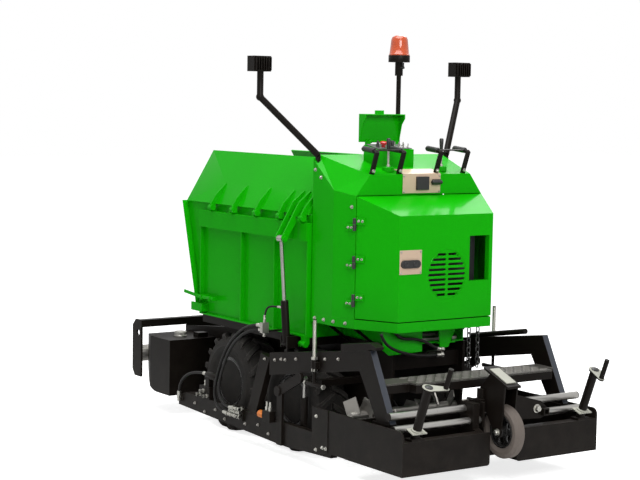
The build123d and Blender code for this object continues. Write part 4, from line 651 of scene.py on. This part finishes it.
def hood():
    plate = at(-0.004, 0.171, 1.057), at(0.001, HOOD_REAR_Y - 0.002, 1.185)
    boxes("door_latch_plate", "door", "latch_steel", [plate], 0.0012)

    def door_latch(made):
        ends = at(-0.003, 0.290, LATCH_Z), at(-0.003, 0.205, LATCH_Z)
        add_plate(made, obround(ends, (0.021, 0.021), LEFT, UP, 8), BACK * 0.012)
        button = [(0.014, 0.0), (0.014, 0.003), (0.010, 0.004), (0.009, 0.002), (0.0, 0.002)]
        for y in (0.282, 0.222):
            add_turned(made, at(-0.014, y, LATCH_Z), BACK, button, 24)

    piece("door_latch", "door", "black_plastic", door_latch, 0.002)
    rivets = [(at(-0.004, y, z), BACK) for y in (0.180, 0.308) for z in (1.066, 1.176)]
    bolts("door_plate_rivets", "door", rivets, RIVET)

    # The upright latch plate is real; its part bent over onto the deck is a painted reflection of the lid
    def latch_plate_and_deck_sheen(made):
        left, right = 0.125, -0.133
        low, bend = (0.2355, 1.468), (0.2335, DECK_REAR[1] + 0.001)
        add_plate(made, sloped(low, bend, left, right), (0.003, 0, 0))
        lean = Vector((0.098, 0, deck_z(0.335) - DECK_REAR[1])).normalized()
        run = lean * 0.085
        across = LEFT * (right - left)
        edge = at(bend[0], left, bend[1])
        add_plate(made, [edge, edge + across, edge + across + run, edge + run], UP * 0.003)

    piece("deck_latch_plate_and_sheen", "chassis", "latch_steel", latch_plate_and_deck_sheen, 0.0008)

    def deck_latch(made):
        add_box(made, at(0.222, -0.047, 1.486), at(0.236, 0.036, 1.558))
        add_rod(made, at(0.216, -0.060, 1.527), at(0.216, -0.128, 1.527), 0.011, 16, 0.002)
        add_box(made, at(0.220, -0.125, 1.512), at(0.236, -0.075, 1.542))

    piece("deck_latch", "chassis", "black_plastic", deck_latch, 0.002)
    rivets = [(at(0.2345, y, z), BACK) for y in (0.117, -0.125) for z in (1.476, 1.560)]
    bolts("deck_plate_rivets", "chassis", rivets, RIVET)

    places = []
    first, last = TRAY_BOLT_X
    for out in SIDES.values():
        outward = (0, out, 0)
        for x, z in ((0.575, 1.585), (0.520, 1.545)):
            places.append((at(x, out * (HOOD_SIDE_Y + 0.0005), z), outward))
        slope = Vector((-0.197, out * 0.980, 0)).normalized()
        places.append((at(0.268, out * 0.4362, 1.400), slope))
        for i in range(TRAY_BOLT_COUNT):
            x = first + (last - first) * i / (TRAY_BOLT_COUNT - 1)
            y = HOOD_SIDE_Y if x > 0.40 else 0.430 + (x - 0.241) * 0.201
            places.append((at(x, out * (y + 0.0005), 0.774), outward))
    bolts("hood_bolts", "chassis", places, 0.013)


hood()


# Controls: console panel, knobs and switches
PANEL_UP = (-0.15, 0, 1)


def on_panel(x, y):
    return at(x, y, 1.706 + (x - 0.358) * 0.172)


def controls():
    def panel(made):
        add_plate(made, sloped((0.371, 1.7035), (0.480, 1.7225), -0.036, 0.196), (-0.001, 0, 0.004))

    piece("console_panel", "chassis", "panel_grey", panel, 0.001)
    stop = [(0.011, 0.0), (0.011, 0.012), (0.020, 0.016), (0.021, 0.026), (0.016, 0.031), (0.0, 0.033)]
    turned("stop_knob", "chassis", "red_plastic", [on_panel(0.398, 0.140)], PANEL_UP, stop, 28)

    def knobs(made):
        for x, y, size in ((0.392, 0.182, 0.9), (0.392, 0.085, 1.1), (0.44, 0.150, 0.8), (0.44, 0.060, 0.8)):
            profile = [(0.010 * size, 0.0), (0.010 * size, 0.006), (0.007 * size, 0.008),
                       (0.008 * size, 0.030 * size), (0.005 * size, 0.034 * size), (0.0, 0.035 * size)]
            add_turned(made, on_panel(x, y), PANEL_UP, profile, 20)

    piece("console_knobs", "chassis", "black_plastic", knobs)
    places = [on_panel(x, y) for y in (0.040, 0.012, -0.018) for x in (0.385, 0.430)]
    switch = [(0.008, 0.0), (0.008, 0.003), (0.0035, 0.004), (0.0026, 0.022), (0.0, 0.023)]
    turned("console_switches", "chassis", "zinc", places, PANEL_UP, switch, 16)


controls()


# Lamps: cooling fins behind and a lens in front
LAMP_DEEP, LAMP_WIDE, LAMP_HIGH = 0.070, 0.110, 0.084
FIN_COUNT = 7


def lamps():
    for side, out in SIDES.items():
        low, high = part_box(f"work_lamp_{side}")
        x1, z1 = high[0], high[2]
        x0, z0 = x1 - LAMP_DEEP, z1 - LAMP_HIGH
        outer = high[1] if out > 0 else low[1]
        y0, y1 = sorted((outer, outer - out * LAMP_WIDE))
        fins = []
        for i in range(FIN_COUNT):
            y = y0 + 0.008 + (y1 - y0 - 0.016) * i / (FIN_COUNT - 1)
            fins.append(((x0 - 0.016, y - 0.002, z0 + 0.006), (x0 + 0.002, y + 0.002, z1 - 0.006)))
        boxes(f"lamp_fins_{side}", "chassis", "black_steel", fins, 0.0008)
        lens = (x1 - 0.004, y0 + 0.010, z0 + 0.009), (x1 + 0.0006, y1 - 0.010, z1 - 0.009)
        boxes(f"lamp_lens_{side}", "chassis", "lamp_lens", [lens], 0.001)


lamps()


# Beacon: ribbed dome over its base, from (radius, share of the height) points
DOME_RIBS = 40
DOME = ((0.058, 0.0), (0.058, 0.05), (0.0545, 0.07), (0.049, 0.55), (0.046, 0.78), (0.040, 0.90),
        (0.026, 0.97), (0.004, 1.0))


def beacon():
    low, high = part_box("beacon_dome")
    centre = Vector(((low[0] + high[0]) / 2, (low[1] + high[1]) / 2, low[2]))
    height = high[2] - low[2]
    profile = [(radius, height * share) for radius, share in DOME]

    def dome(made):
        add_ribbed(made, centre, profile, 0.0012, (0.06 * height, 0.92 * height), 2 * DOME_RIBS)

    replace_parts(piece("beacon_lens", "chassis", "amber_dome", dome, smooth=60), "beacon_dome")


beacon()


# Door hinges: black knuckles with bolts through the leaves
HINGE_AT = (0.237, 0.439)
HINGE_Z = (0.903, 1.107, 1.309)
HINGE_HALF = 0.0345
CHAMFER_RUN = Vector((-0.9068, -0.4214, 0))
CHAMFER_OUT = Vector((-0.4214, 0.9068, 0))
SIDE_RUN = Vector((0.980, 0.197, 0))
SIDE_OUT = Vector((-0.197, 0.980, 0))


def hinges():
    for body, run, out, rise in (("door", CHAMFER_RUN, CHAMFER_OUT, 1), ("chassis", SIDE_RUN, SIDE_OUT, -1)):
        spans = [(at(*HINGE_AT, z + rise * 0.001), at(*HINGE_AT, z + rise * HINGE_HALF)) for z in HINGE_Z]
        rods(f"hinge_knuckles_{body}", body, "black_plastic", spans, 0.0102, 16, 0.001)
        places = []
        for z in HINGE_Z:
            for along in (0.024, 0.047):
                places.append((at(*HINGE_AT, z + rise * 0.018) + run * along, out))
        bolts(f"hinge_bolts_{body}", body, places, 0.009)


hinges()


# Grips and joysticks on the deck, and the clamp on the beacon's pole
GRIP_Y = (0.322, 0.142, -0.112, -0.302)
JOYSTICK_Y = (0.176, -0.189)
JOYSTICK_X = 0.303
STEM = [(0.011, 0.020), (0.011, 0.030), (0.0062, 0.033), (0.0062, 0.112)]
BOSS = [(0.031, -0.004), (0.031, 0.019), (0.028, 0.022), (0.011, 0.0225)]
KNOB = [(0.007, 0.106), (0.0085, 0.110), (0.0115, 0.150), (0.0120, 0.168), (0.0095, 0.175), (0.0, 0.177)]


def hand_controls():
    spans = [(at(0.232, y, 1.6985), at(0.331, y, 1.7072)) for y in GRIP_Y]
    rods("grip_sleeves", "chassis", "black_plastic", spans, 0.0155, 18, 0.004)
    seats = [at(JOYSTICK_X, y, deck_z(JOYSTICK_X)) for y in JOYSTICK_Y]
    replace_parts(turned("joystick_stems", "chassis", "zinc", seats, UP, STEM, 20), "joysticks")
    turned("joystick_bosses", "chassis", "green_paint", seats, UP, BOSS, 36)
    turned("joystick_knobs", "chassis", "black_plastic", seats, UP, KNOB, 24)
    bolts("grip_bolts", "chassis", [(at(0.2375, y, 1.590), (-1, 0, -0.35)) for y in GRIP_Y], 0.013)

    def wing_nut(made):
        hub = at(0.5335, -0.075, 2.150)
        add_rod(made, hub, hub + BACK * 0.022, 0.008, 14, 0.001)
        wing = ((-0.004, -0.006), (0.004, -0.006), (0.006, 0.026), (-0.006, 0.026))
        add_plate(made, [hub + Vector((-0.014, y, z)) for y, z in wing], BACK * 0.005)

    piece("beacon_clamp", "chassis", "black_plastic", wing_nut, 0.001)


hand_controls()


# Hoses: each a smooth line of its route's points, with zinc ferrules at its open ends
HOSE_R = 0.0085
PIPE_R = 0.0055
HOSE_STEPS = 14


def route_line(name, points):
    """Points along the smooth spline of a route."""
    data = bpy.data.curves.new(name, "CURVE")
    data.dimensions = "3D"
    spline = data.splines.new("NURBS")
    spline.points.add(len(points) - 1)
    for spot, point in zip(spline.points, points):
        spot.co = (*point, 1.0)
    spline.order_u = 3
    spline.use_endpoint_u = True
    spline.resolution_u = 12
    obj = bpy.data.objects.new(name, data)
    mesh = bpy.data.meshes.new_from_object(obj)
    line = [vertex.co.copy() for vertex in mesh.vertices]
    bpy.data.meshes.remove(mesh)
    bpy.data.objects.remove(obj)
    bpy.data.curves.remove(data)
    return line


def add_tube(made, line, radius):
    first = frame_for(line[1] - line[0])[0]
    rings = []
    for i, point in enumerate(line):
        ahead = (line[min(i + 1, len(line) - 1)] - line[max(i - 1, 0)]).normalized()
        first = (first - ahead * first.dot(ahead)).normalized()
        rings.append(ring_of(point, first, ahead.cross(first), radius, HOSE_STEPS))
    add_rings(made, rings)


def ferrule(name, body, point, ahead, radius):
    """Crimped sleeve and hexagon nut at a hose's end."""
    sleeve = [(1.28, 0.004), (1.34, 0.006), (1.34, 0.016), (1.22, 0.018), (1.34, 0.020), (1.30, 0.034)]
    nut = [(1.55, -0.010), (1.62, -0.008), (1.62, 0.003), (1.5, 0.005)]

    def build(made):
        for profile, steps in ((sleeve, 18), (nut, 6)):
            add_turned(made, point, ahead, [(radius * wide, along) for wide, along in profile], steps)
    return piece(name, body, "zinc", build, smooth=25)


def hose(name, points, radius, start_body, end_body, bare_start):
    line = route_line(name, [at(*point) for point in points])
    obj = new_object(name, "hose_rubber", lambda made: add_tube(made, line, radius))
    if start_body == end_body:
        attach(obj, start_body)
    else:
        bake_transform(obj)
    ends = [ferrule(f"{name}_end", end_body, line[-1], line[-2] - line[-1], radius)]
    if not bare_start:
        ends.append(ferrule(f"{name}_start", start_body, line[0], line[1] - line[0], radius))


HOSES = {
    "hose_feed": (HOSE_R, "chassis", "screed", [
        (0.874, 0.608, 0.702), (0.94, 0.624, 0.702), (1.06, 0.628, 0.655), (1.19, 0.628, 0.56),
        (1.275, 0.628, 0.44), (1.330, 0.628, 0.32), (1.345, 0.628, 0.23), (1.30, 0.627, 0.160),
        (1.205, 0.626, 0.152)]),
    "hose_return": (HOSE_R, "chassis", "screed", [
        (0.874, 0.588, 0.680), (0.93, 0.640, 0.672), (1.03, 0.655, 0.625), (1.14, 0.655, 0.53),
        (1.215, 0.653, 0.41), (1.258, 0.652, 0.31), (1.245, 0.650, 0.235), (1.18, 0.645, 0.195),
        (1.115, 0.640, 0.200)]),
    "hose_tow": (HOSE_R, "screed", "screed", [
        (1.485, 0.594, 0.335), (1.55, 0.600, 0.338), (1.66, 0.618, 0.318), (1.745, 0.622, 0.260),
        (1.770, 0.622, 0.195), (1.772, 0.621, 0.160)]),
    "hose_cylinder": (PIPE_R, "wing_barrel_body_left", "chassis", [
        (0.760, 0.546, 0.812), (0.806, 0.556, 0.814), (0.852, 0.582, 0.810), (0.859, 0.597, 0.770),
        (0.859, 0.598, 0.728)]),
    "hose_hood_low": (HOSE_R, "chassis", "chassis", [
        (0.045, 0.392, 0.744), (0.045, 0.375, 0.700), (0.048, 0.300, 0.650), (0.052, 0.163, 0.612),
        (0.055, 0.047, 0.604), (0.055, -0.024, 0.604)]),
    "hose_hood_high": (HOSE_R, "chassis", "chassis", [
        (0.070, 0.285, 0.744), (0.070, 0.255, 0.705), (0.070, 0.140, 0.700), (0.068, 0.060, 0.672),
        (0.064, 0.010, 0.640), (0.060, -0.030, 0.632)]),
}
for hose_name, (hose_radius, hose_start, hose_end, hose_route) in HOSES.items():
    hose(hose_name, hose_route, hose_radius, hose_start, hose_end, bare_start="hood" in hose_name)


# Hydraulic fittings: port block, couplings, coil and pipes
NUT_LENGTH = 0.014
COUPLING_R = 0.0105
COIL_Y, COIL_Z = 0.625, 0.210
COUPLINGS = [
    ((1.212, 0.626, 0.152), (1.060, 0.626, 0.152)), ((1.122, 0.640, 0.200), (1.045, 0.640, 0.200)),
    ((1.170, 0.628, 0.176), (1.055, 0.628, 0.176)), ((1.060, 0.606, 0.200), (1.060, 0.650, 0.200)),
    ((1.075, 0.606, 0.152), (1.075, 0.640, 0.152)), ((1.772, 0.621, 0.166), (1.772, 0.621, 0.132)),
    ((1.462, 0.594, 0.335), (1.490, 0.594, 0.335)), ((1.447, 0.608, 0.212), (1.447, 0.646, 0.212)),
    ((1.487, 0.608, 0.238), (1.487, 0.646, 0.238)), ((1.525, 0.608, 0.212), (1.525, 0.646, 0.212)),
    ((1.46, 0.588, 0.260), (1.46, 0.588, 0.296)), ((1.51, 0.588, 0.260), (1.51, 0.588, 0.296)),
]


def add_coupling(made, start, end):
    """Hexagon nuts along a round neck."""
    ahead = (end - start).normalized()
    length = (end - start).length
    add_rod(made, start, end, COUPLING_R * 0.72, 14)
    count = max(1, round(length / (1.6 * NUT_LENGTH)))
    for i in range(count):
        nut = start + ahead * ((length - NUT_LENGTH) * (i / (count - 1) if count > 1 else 0.5))
        add_rod(made, nut, nut + ahead * NUT_LENGTH, COUPLING_R * (1.0 if i % 2 else 1.18), 6, 0.001)


def fittings():
    def port_block(made):
        add_box(made, at(0.846, 0.576, 0.662), at(0.872, 0.620, 0.720))
        add_rod(made, at(0.859, 0.598, 0.666), at(0.859, 0.598, 0.640), 0.010, 6, 0.001)

    piece("port_block", "chassis", "zinc", port_block, 0.0015)
    bracket = at(0.847, 0.461, 0.667), at(0.871, 0.580, 0.675)
    boxes("port_bracket", "chassis", "black_steel", [bracket], 0.001)
    port = at(0.735, 0.546, 0.812), at(0.762, 0.546, 0.812)
    rods("cylinder_port", "wing_barrel_body_left", "zinc", [port], 0.010, 6, 0.001)
    plates = [(at(1.050, 0.604, 0.128), at(1.150, 0.616, 0.214)),
              (at(1.755, 0.604, 0.130), at(1.789, 0.612, 0.172))]
    boxes("bar_manifold", "screed", "black_steel", plates, 0.001)

    def couplings(made):
        for start, end in COUPLINGS:
            add_coupling(made, at(*start), at(*end))

    piece("bar_fittings", "screed", "zinc", couplings, smooth=25)
    coil = at(0.806, COIL_Y, COIL_Z), at(0.852, COIL_Y, COIL_Z)
    rods("valve_coil", "screed", "orange_coil", [coil], 0.021, 24, 0.003)

    def coil_fittings(made):
        add_rod(made, at(0.852, COIL_Y, COIL_Z), at(0.868, COIL_Y, COIL_Z), 0.013, 6, 0.001)
        for x in (0.745, 0.778):
            add_rod(made, at(x, COIL_Y, 0.239), at(x, COIL_Y, 0.262), 0.012, 6, 0.001)
            add_rod(made, at(x, COIL_Y, 0.262), at(x, COIL_Y, 0.290), 0.007, 14)

    piece("coil_fittings", "screed", "zinc", coil_fittings)

    def hood_pipes(made):
        add_rod(made, at(0.053, -0.030, 0.604), at(0.172, -0.030, 0.585), 0.010, 14)
        add_rod(made, at(0.058, -0.036, 0.632), at(0.190, -0.036, 0.596), 0.009, 14)

    piece("hood_pipes", "chassis", "zinc", hood_pipes)


fittings()


# Chains that hang under the hood
CHAIN_X, CHAIN_TOP = 0.020, 0.742
CHAIN_Y = (-0.245, -0.183)
LINK_COUNT = 8
LINK_PITCH = 0.027
LINK_HALF = 0.0105
LINK_STRAIGHT = 0.007
LINK_WIRE = 0.0034
LINK_STEPS = 12


def add_link(made, middle, across):
    """An upright oval of wire."""
    oval = []
    for i in range(LINK_STEPS):
        turn = 2 * pi * i / LINK_STEPS
        straight = LINK_STRAIGHT if sin(turn) >= 0 else -LINK_STRAIGHT
        oval.append(middle + across * (LINK_HALF * cos(turn)) + UP * (LINK_HALF * sin(turn) + straight))
    rings = []
    for i, point in enumerate(oval):
        ahead = (oval[(i + 1) % LINK_STEPS] - oval[i - 1]).normalized()
        side = ahead.cross(across.cross(UP)).normalized()
        rings.append(ring_of(point, side, ahead.cross(side), LINK_WIRE, 6))
    add_rings(made, rings, loop=True)


def chains():
    def build(made):
        for y in CHAIN_Y:
            for i in range(LINK_COUNT):
                middle = at(CHAIN_X, y, CHAIN_TOP - LINK_PITCH * (i + 0.5))
                add_link(made, middle, -BACK if i % 2 else LEFT)

    piece("hanging_chains", "chassis", "rim_black", build)


chains()


# Screed arms: bolts, threaded spindles and a painted bluish sheen on the rear faces of the legs
BEAM_BOLTS = ((0.838, 0.518), (0.734, 0.527), (0.671, 0.540), (0.631, 0.542), (0.524, 0.561), (0.249, 0.600),
              (0.127, 0.617))
BAR_BOLTS = ((1.603, 0.144), (1.488, 0.111), (1.365, 0.143), (1.258, 0.107), (1.035, 0.117), (0.898, 0.135),
             (0.790, 0.104))
CHEEK_BOLTS = ((0.250, 0.300), (0.191, 0.141), (0.160, 0.141), (0.250, 0.120))
SPINDLE_X, SPINDLE_Y = 0.325, 0.622
THREAD_PITCH = 0.004
THREAD_TURNS = 60


def screed_arms():
    places = []
    for out in SIDES.values():
        places += [(at(x, out * ARM_FACE_Y, z), (0, out, 0)) for x, z in BEAM_BOLTS + BAR_BOLTS]
    bolts("arm_bolts", "screed", places, 0.012, "worn_steel")
    for side, out in SIDES.items():
        places = [(at(x, out * CHEEK_FACE_Y, z), (0, out, 0)) for x, z in CHEEK_BOLTS]
        bolts(f"cheek_bolts_{side}", f"extension_{side}", places, 0.013)

    def threads(made):
        profile = []
        for i in range(THREAD_TURNS):
            profile += [(0.0094, THREAD_PITCH * i), (0.0112, THREAD_PITCH * (i + 0.5))]
        for y in (SPINDLE_Y, -SPINDLE_Y):
            add_turned(made, at(SPINDLE_X, y, 0.562), UP, profile, 14)
            for z in (0.526, 0.588):
                add_rod(made, at(SPINDLE_X, y, z), at(SPINDLE_X, y, z + 0.014), 0.019, 6, 0.001)
            for x, way in ((0.243, -1), (0.401, 1)):
                add_rod(made, at(x, y, 0.452), at(x + way * 0.010, y, 0.452), 0.014, 6, 0.001)

    piece("spindle_threads", "screed", "zinc", threads, smooth=30)

    # Thin bluish plates on the rear faces of the legs: a painted sheen
    def sheen_on_leg_faces(made):
        away = Vector((-0.889, 0, 0.458))
        for out in SIDES.values():
            outline = sloped((-0.1485, 0.6968), (-0.3285, 0.3485), out * 0.5665, out * 0.6035)
            add_plate(made, outline, away * 0.0012)

    piece("sheen_on_leg_faces", "screed", "leg_sheen", sheen_on_leg_faces)


screed_arms()


# Cranks: pale flags with a black nut, and foot plates with a collar
CRANK_AT = (-0.466, 0.557, 0.290)
CRANK_LEAN = radians(20.9)
CRANK_TURN = {"left": 75.0, "right": 20.0}
CRANK_RISE = 0.2984
CRANK_REACH = 0.092
FOOT_RISE = 0.050


def cranks():
    axis = Vector((-sin(CRANK_LEAN), 0, cos(CRANK_LEAN)))
    back = Vector((-cos(CRANK_LEAN), 0, -sin(CRANK_LEAN)))
    for side, out in SIDES.items():
        turn = radians(CRANK_TURN[side])
        reach = back * cos(turn) - LEFT * (out * sin(turn))
        base = at(CRANK_AT[0], out * CRANK_AT[1], CRANK_AT[2])
        top = base + axis * CRANK_RISE
        body = f"extension_{side}"

        def flag(made):
            ends = top + reach * CRANK_REACH, top
            outline = obround(ends, (0.0185, 0.0335), reach, axis.cross(reach), 10)
            add_plate(made, outline, axis * 0.003)

        piece(f"crank_flag_{side}", body, "pale_paint", flag, 0.0008)
        nut = [(0.021, 0.002), (0.021, 0.006), (0.017, 0.009), (0.0, 0.010)]
        turned(f"crank_nut_{side}", body, "black_plastic", [top], axis, nut, 24)

        def foot(made):
            centre = base + axis * FOOT_RISE
            corners = ((-0.032, -0.045), (0.030, -0.045), (0.030, 0.045), (-0.032, 0.045))
            add_plate(made, [centre + back * a + LEFT * b for a, b in corners], axis * 0.005)
            collar = [(0.030, 0.004), (0.030, 0.011), (0.026, 0.014), (0.0235, 0.014)]
            add_turned(made, centre, axis, collar, 32)

        piece(f"crank_foot_{side}", body, "pale_paint", foot, 0.0008)


cranks()


# Step: raised strands round the diamonds of its floor sheet
STRAND_X1, STRAND_Y0, STRAND_Z = -0.113, -0.497, 0.5350
STRAND_PITCH = (0.035, 0.060)
STRAND_HALF = (0.0135, 0.0265)
STRAND_ROWS, STRAND_COLUMNS = 5, 15
STRAND_WIDE, STRAND_HIGH = 0.0038, 0.0034


def step_strands():
    def build(made):
        for row in range(STRAND_ROWS):
            x = STRAND_X1 - STRAND_PITCH[0] * (row + 0.5)
            odd = row % 2
            for column in range(STRAND_COLUMNS - odd):
                y = STRAND_Y0 + STRAND_PITCH[1] * (column + 0.5 + odd / 2)
                corners = [at(x + a * STRAND_HALF[0], y + b * STRAND_HALF[1], STRAND_Z)
                           for a, b in ((1, 0), (0, 1), (-1, 0), (0, -1))]
                for start, end in zip(corners, corners[1:] + corners[:1]):
                    across = UP.cross(end - start).normalized() * (STRAND_WIDE / 2)
                    outline = [start - across, end - across, end + across, start + across]
                    add_plate(made, outline, UP * STRAND_HIGH)

    piece("step_strands", "screed", "worn_steel", build)


step_strands()


# Small hardware: sleeves of the guide tubes, the support's lever top and bolts, filler caps of the tanks
GUIDE_TUBES = ((-0.395, 0.335), (-0.355, 0.395))
GUIDE_Y = (0.081, 0.634)
CAP = [(0.040, 0.0), (0.040, 0.006), (0.0385, 0.008), (0.0385, 0.026), (0.034, 0.030)]


def small_hardware():
    spans = [[at(x, out * y, z) for y in GUIDE_Y] for x, z in GUIDE_TUBES for out in SIDES.values()]
    rods("guide_sleeves", "screed", "bright_steel", spans, 0.0203, 40)

    def lever_top(made):
        outline = sloped((-0.545, 0.5392), (-0.410, 0.5940), -0.032, 0.032)
        add_plate(made, outline, Vector((-0.376, 0, 0.927)) * 0.006)

    piece("support_lever_top", "support_fork", "pale_paint", lever_top, 0.001)
    bolts("bracket_bolt", "screed", [(at(-0.4545, -0.262, 0.372), BACK)], 0.030)
    nuts = [(at(-0.500, out * 0.0465, 0.285), (0, out, 0)) for out in SIDES.values()]
    bolts("axle_nuts", "support_fork", nuts, 0.024)

    def caps(made):
        for out in SIDES.values():
            add_ribbed(made, at(2.113, out * 0.420, 0.471), CAP, 0.0016, (0.007, 0.028), 64)

    piece("tank_caps", "chassis", "zinc", caps, smooth=20)


small_hardware()


# Stage: camera, pale floor, soft light
def camera():
    yaw, pitch, roll = radians(CAMERA_YAW), radians(CAMERA_PITCH), radians(CAMERA_ROLL)
    ahead = Vector((cos(yaw) * cos(pitch), -sin(yaw) * cos(pitch), -sin(pitch)))
    level = Vector((-sin(yaw), -cos(yaw), 0))
    above = level.cross(ahead)
    right = level * cos(roll) + above * sin(roll)
    up = above * cos(roll) - level * sin(roll)
    data = bpy.data.cameras.new("photo_camera")
    data.lens = CAMERA_LENS
    data.sensor_width = CAMERA_SENSOR
    data.clip_end = 200.0
    obj = bpy.data.objects.new("photo_camera", data)
    rotation = Matrix((right, up, -ahead)).transposed().to_4x4()
    obj.matrix_world = Matrix.Translation(CAMERA_AT) @ rotation
    bpy.context.scene.collection.objects.link(obj)
    bpy.context.scene.camera = obj


FLOOR_SIZE = 40.0
FLOOR_GREY = (0.80, 0.80, 0.80, 1.0)
FLOOR_GLOW = 0.78


def floor():
    mesh = bpy.data.meshes.new("floor")
    made = bmesh.new()
    bmesh.ops.create_grid(made, x_segments=1, y_segments=1, size=FLOOR_SIZE)
    made.to_mesh(mesh)
    made.free()
    obj = bpy.data.objects.new("floor", mesh)
    material, tree, shader = start_material("pale_floor")
    seen = add(tree, "ShaderNodeLightPath").outputs["Is Camera Ray"]
    glow = remap(tree, seen, 0.0, 1.0, 0.0, FLOOR_GLOW)
    set_inputs(tree, shader, {"Base Color": FLOOR_GREY, "Roughness": 0.9, "Specular IOR Level": 0.0,
                              "Emission Color": WHITE, "Emission Strength": glow})
    mesh.materials.append(material)
    bpy.context.scene.collection.objects.link(obj)


# Backdrop strength as it lights and as it is seen, and lamps with place, target, size and watts
BACKDROP_LIT, BACKDROP_SEEN = 0.42, 1.0
LAMPS = {
    "overhead": (at(0.2, 0.6, 6.5), at(0.6, 0, 0.8), 5.0, 350),
    "far_sheen": (at(3.4, -3.2, 5.0), at(0.12, 0, 1.41), 2.6, 90),
    "key": (at(-5.0, 2.2, 4.2), at(0.6, 0, 0.8), 3.0, 210),
}


def lamp(name, place, target, size, watts):
    data = bpy.data.lights.new(name, "AREA")
    data.shape = "DISK"
    data.size = size
    data.energy = watts
    obj = bpy.data.objects.new(name, data)
    obj.location = place
    obj.rotation_euler = (target - place).to_track_quat("-Z", "Y").to_euler()
    bpy.context.scene.collection.objects.link(obj)


def light():
    world = bpy.data.worlds.new("studio")
    bpy.context.scene.world = world
    world.use_nodes = True
    tree = world.node_tree
    path = add(tree, "ShaderNodeLightPath").outputs
    mirrored = calc(tree, "MAXIMUM", path["Is Glossy Ray"], path["Is Transmission Ray"])
    seen = calc(tree, "MAXIMUM", path["Is Camera Ray"], mirrored)
    strength = remap(tree, seen, 0.0, 1.0, BACKDROP_LIT, BACKDROP_SEEN)
    set_inputs(tree, tree.nodes["Background"], {"Color": WHITE, "Strength": strength})
    for name, values in LAMPS.items():
        lamp(name, *values)


camera()
floor()
light()
bpy.context.scene.view_settings.view_transform = "Standard"
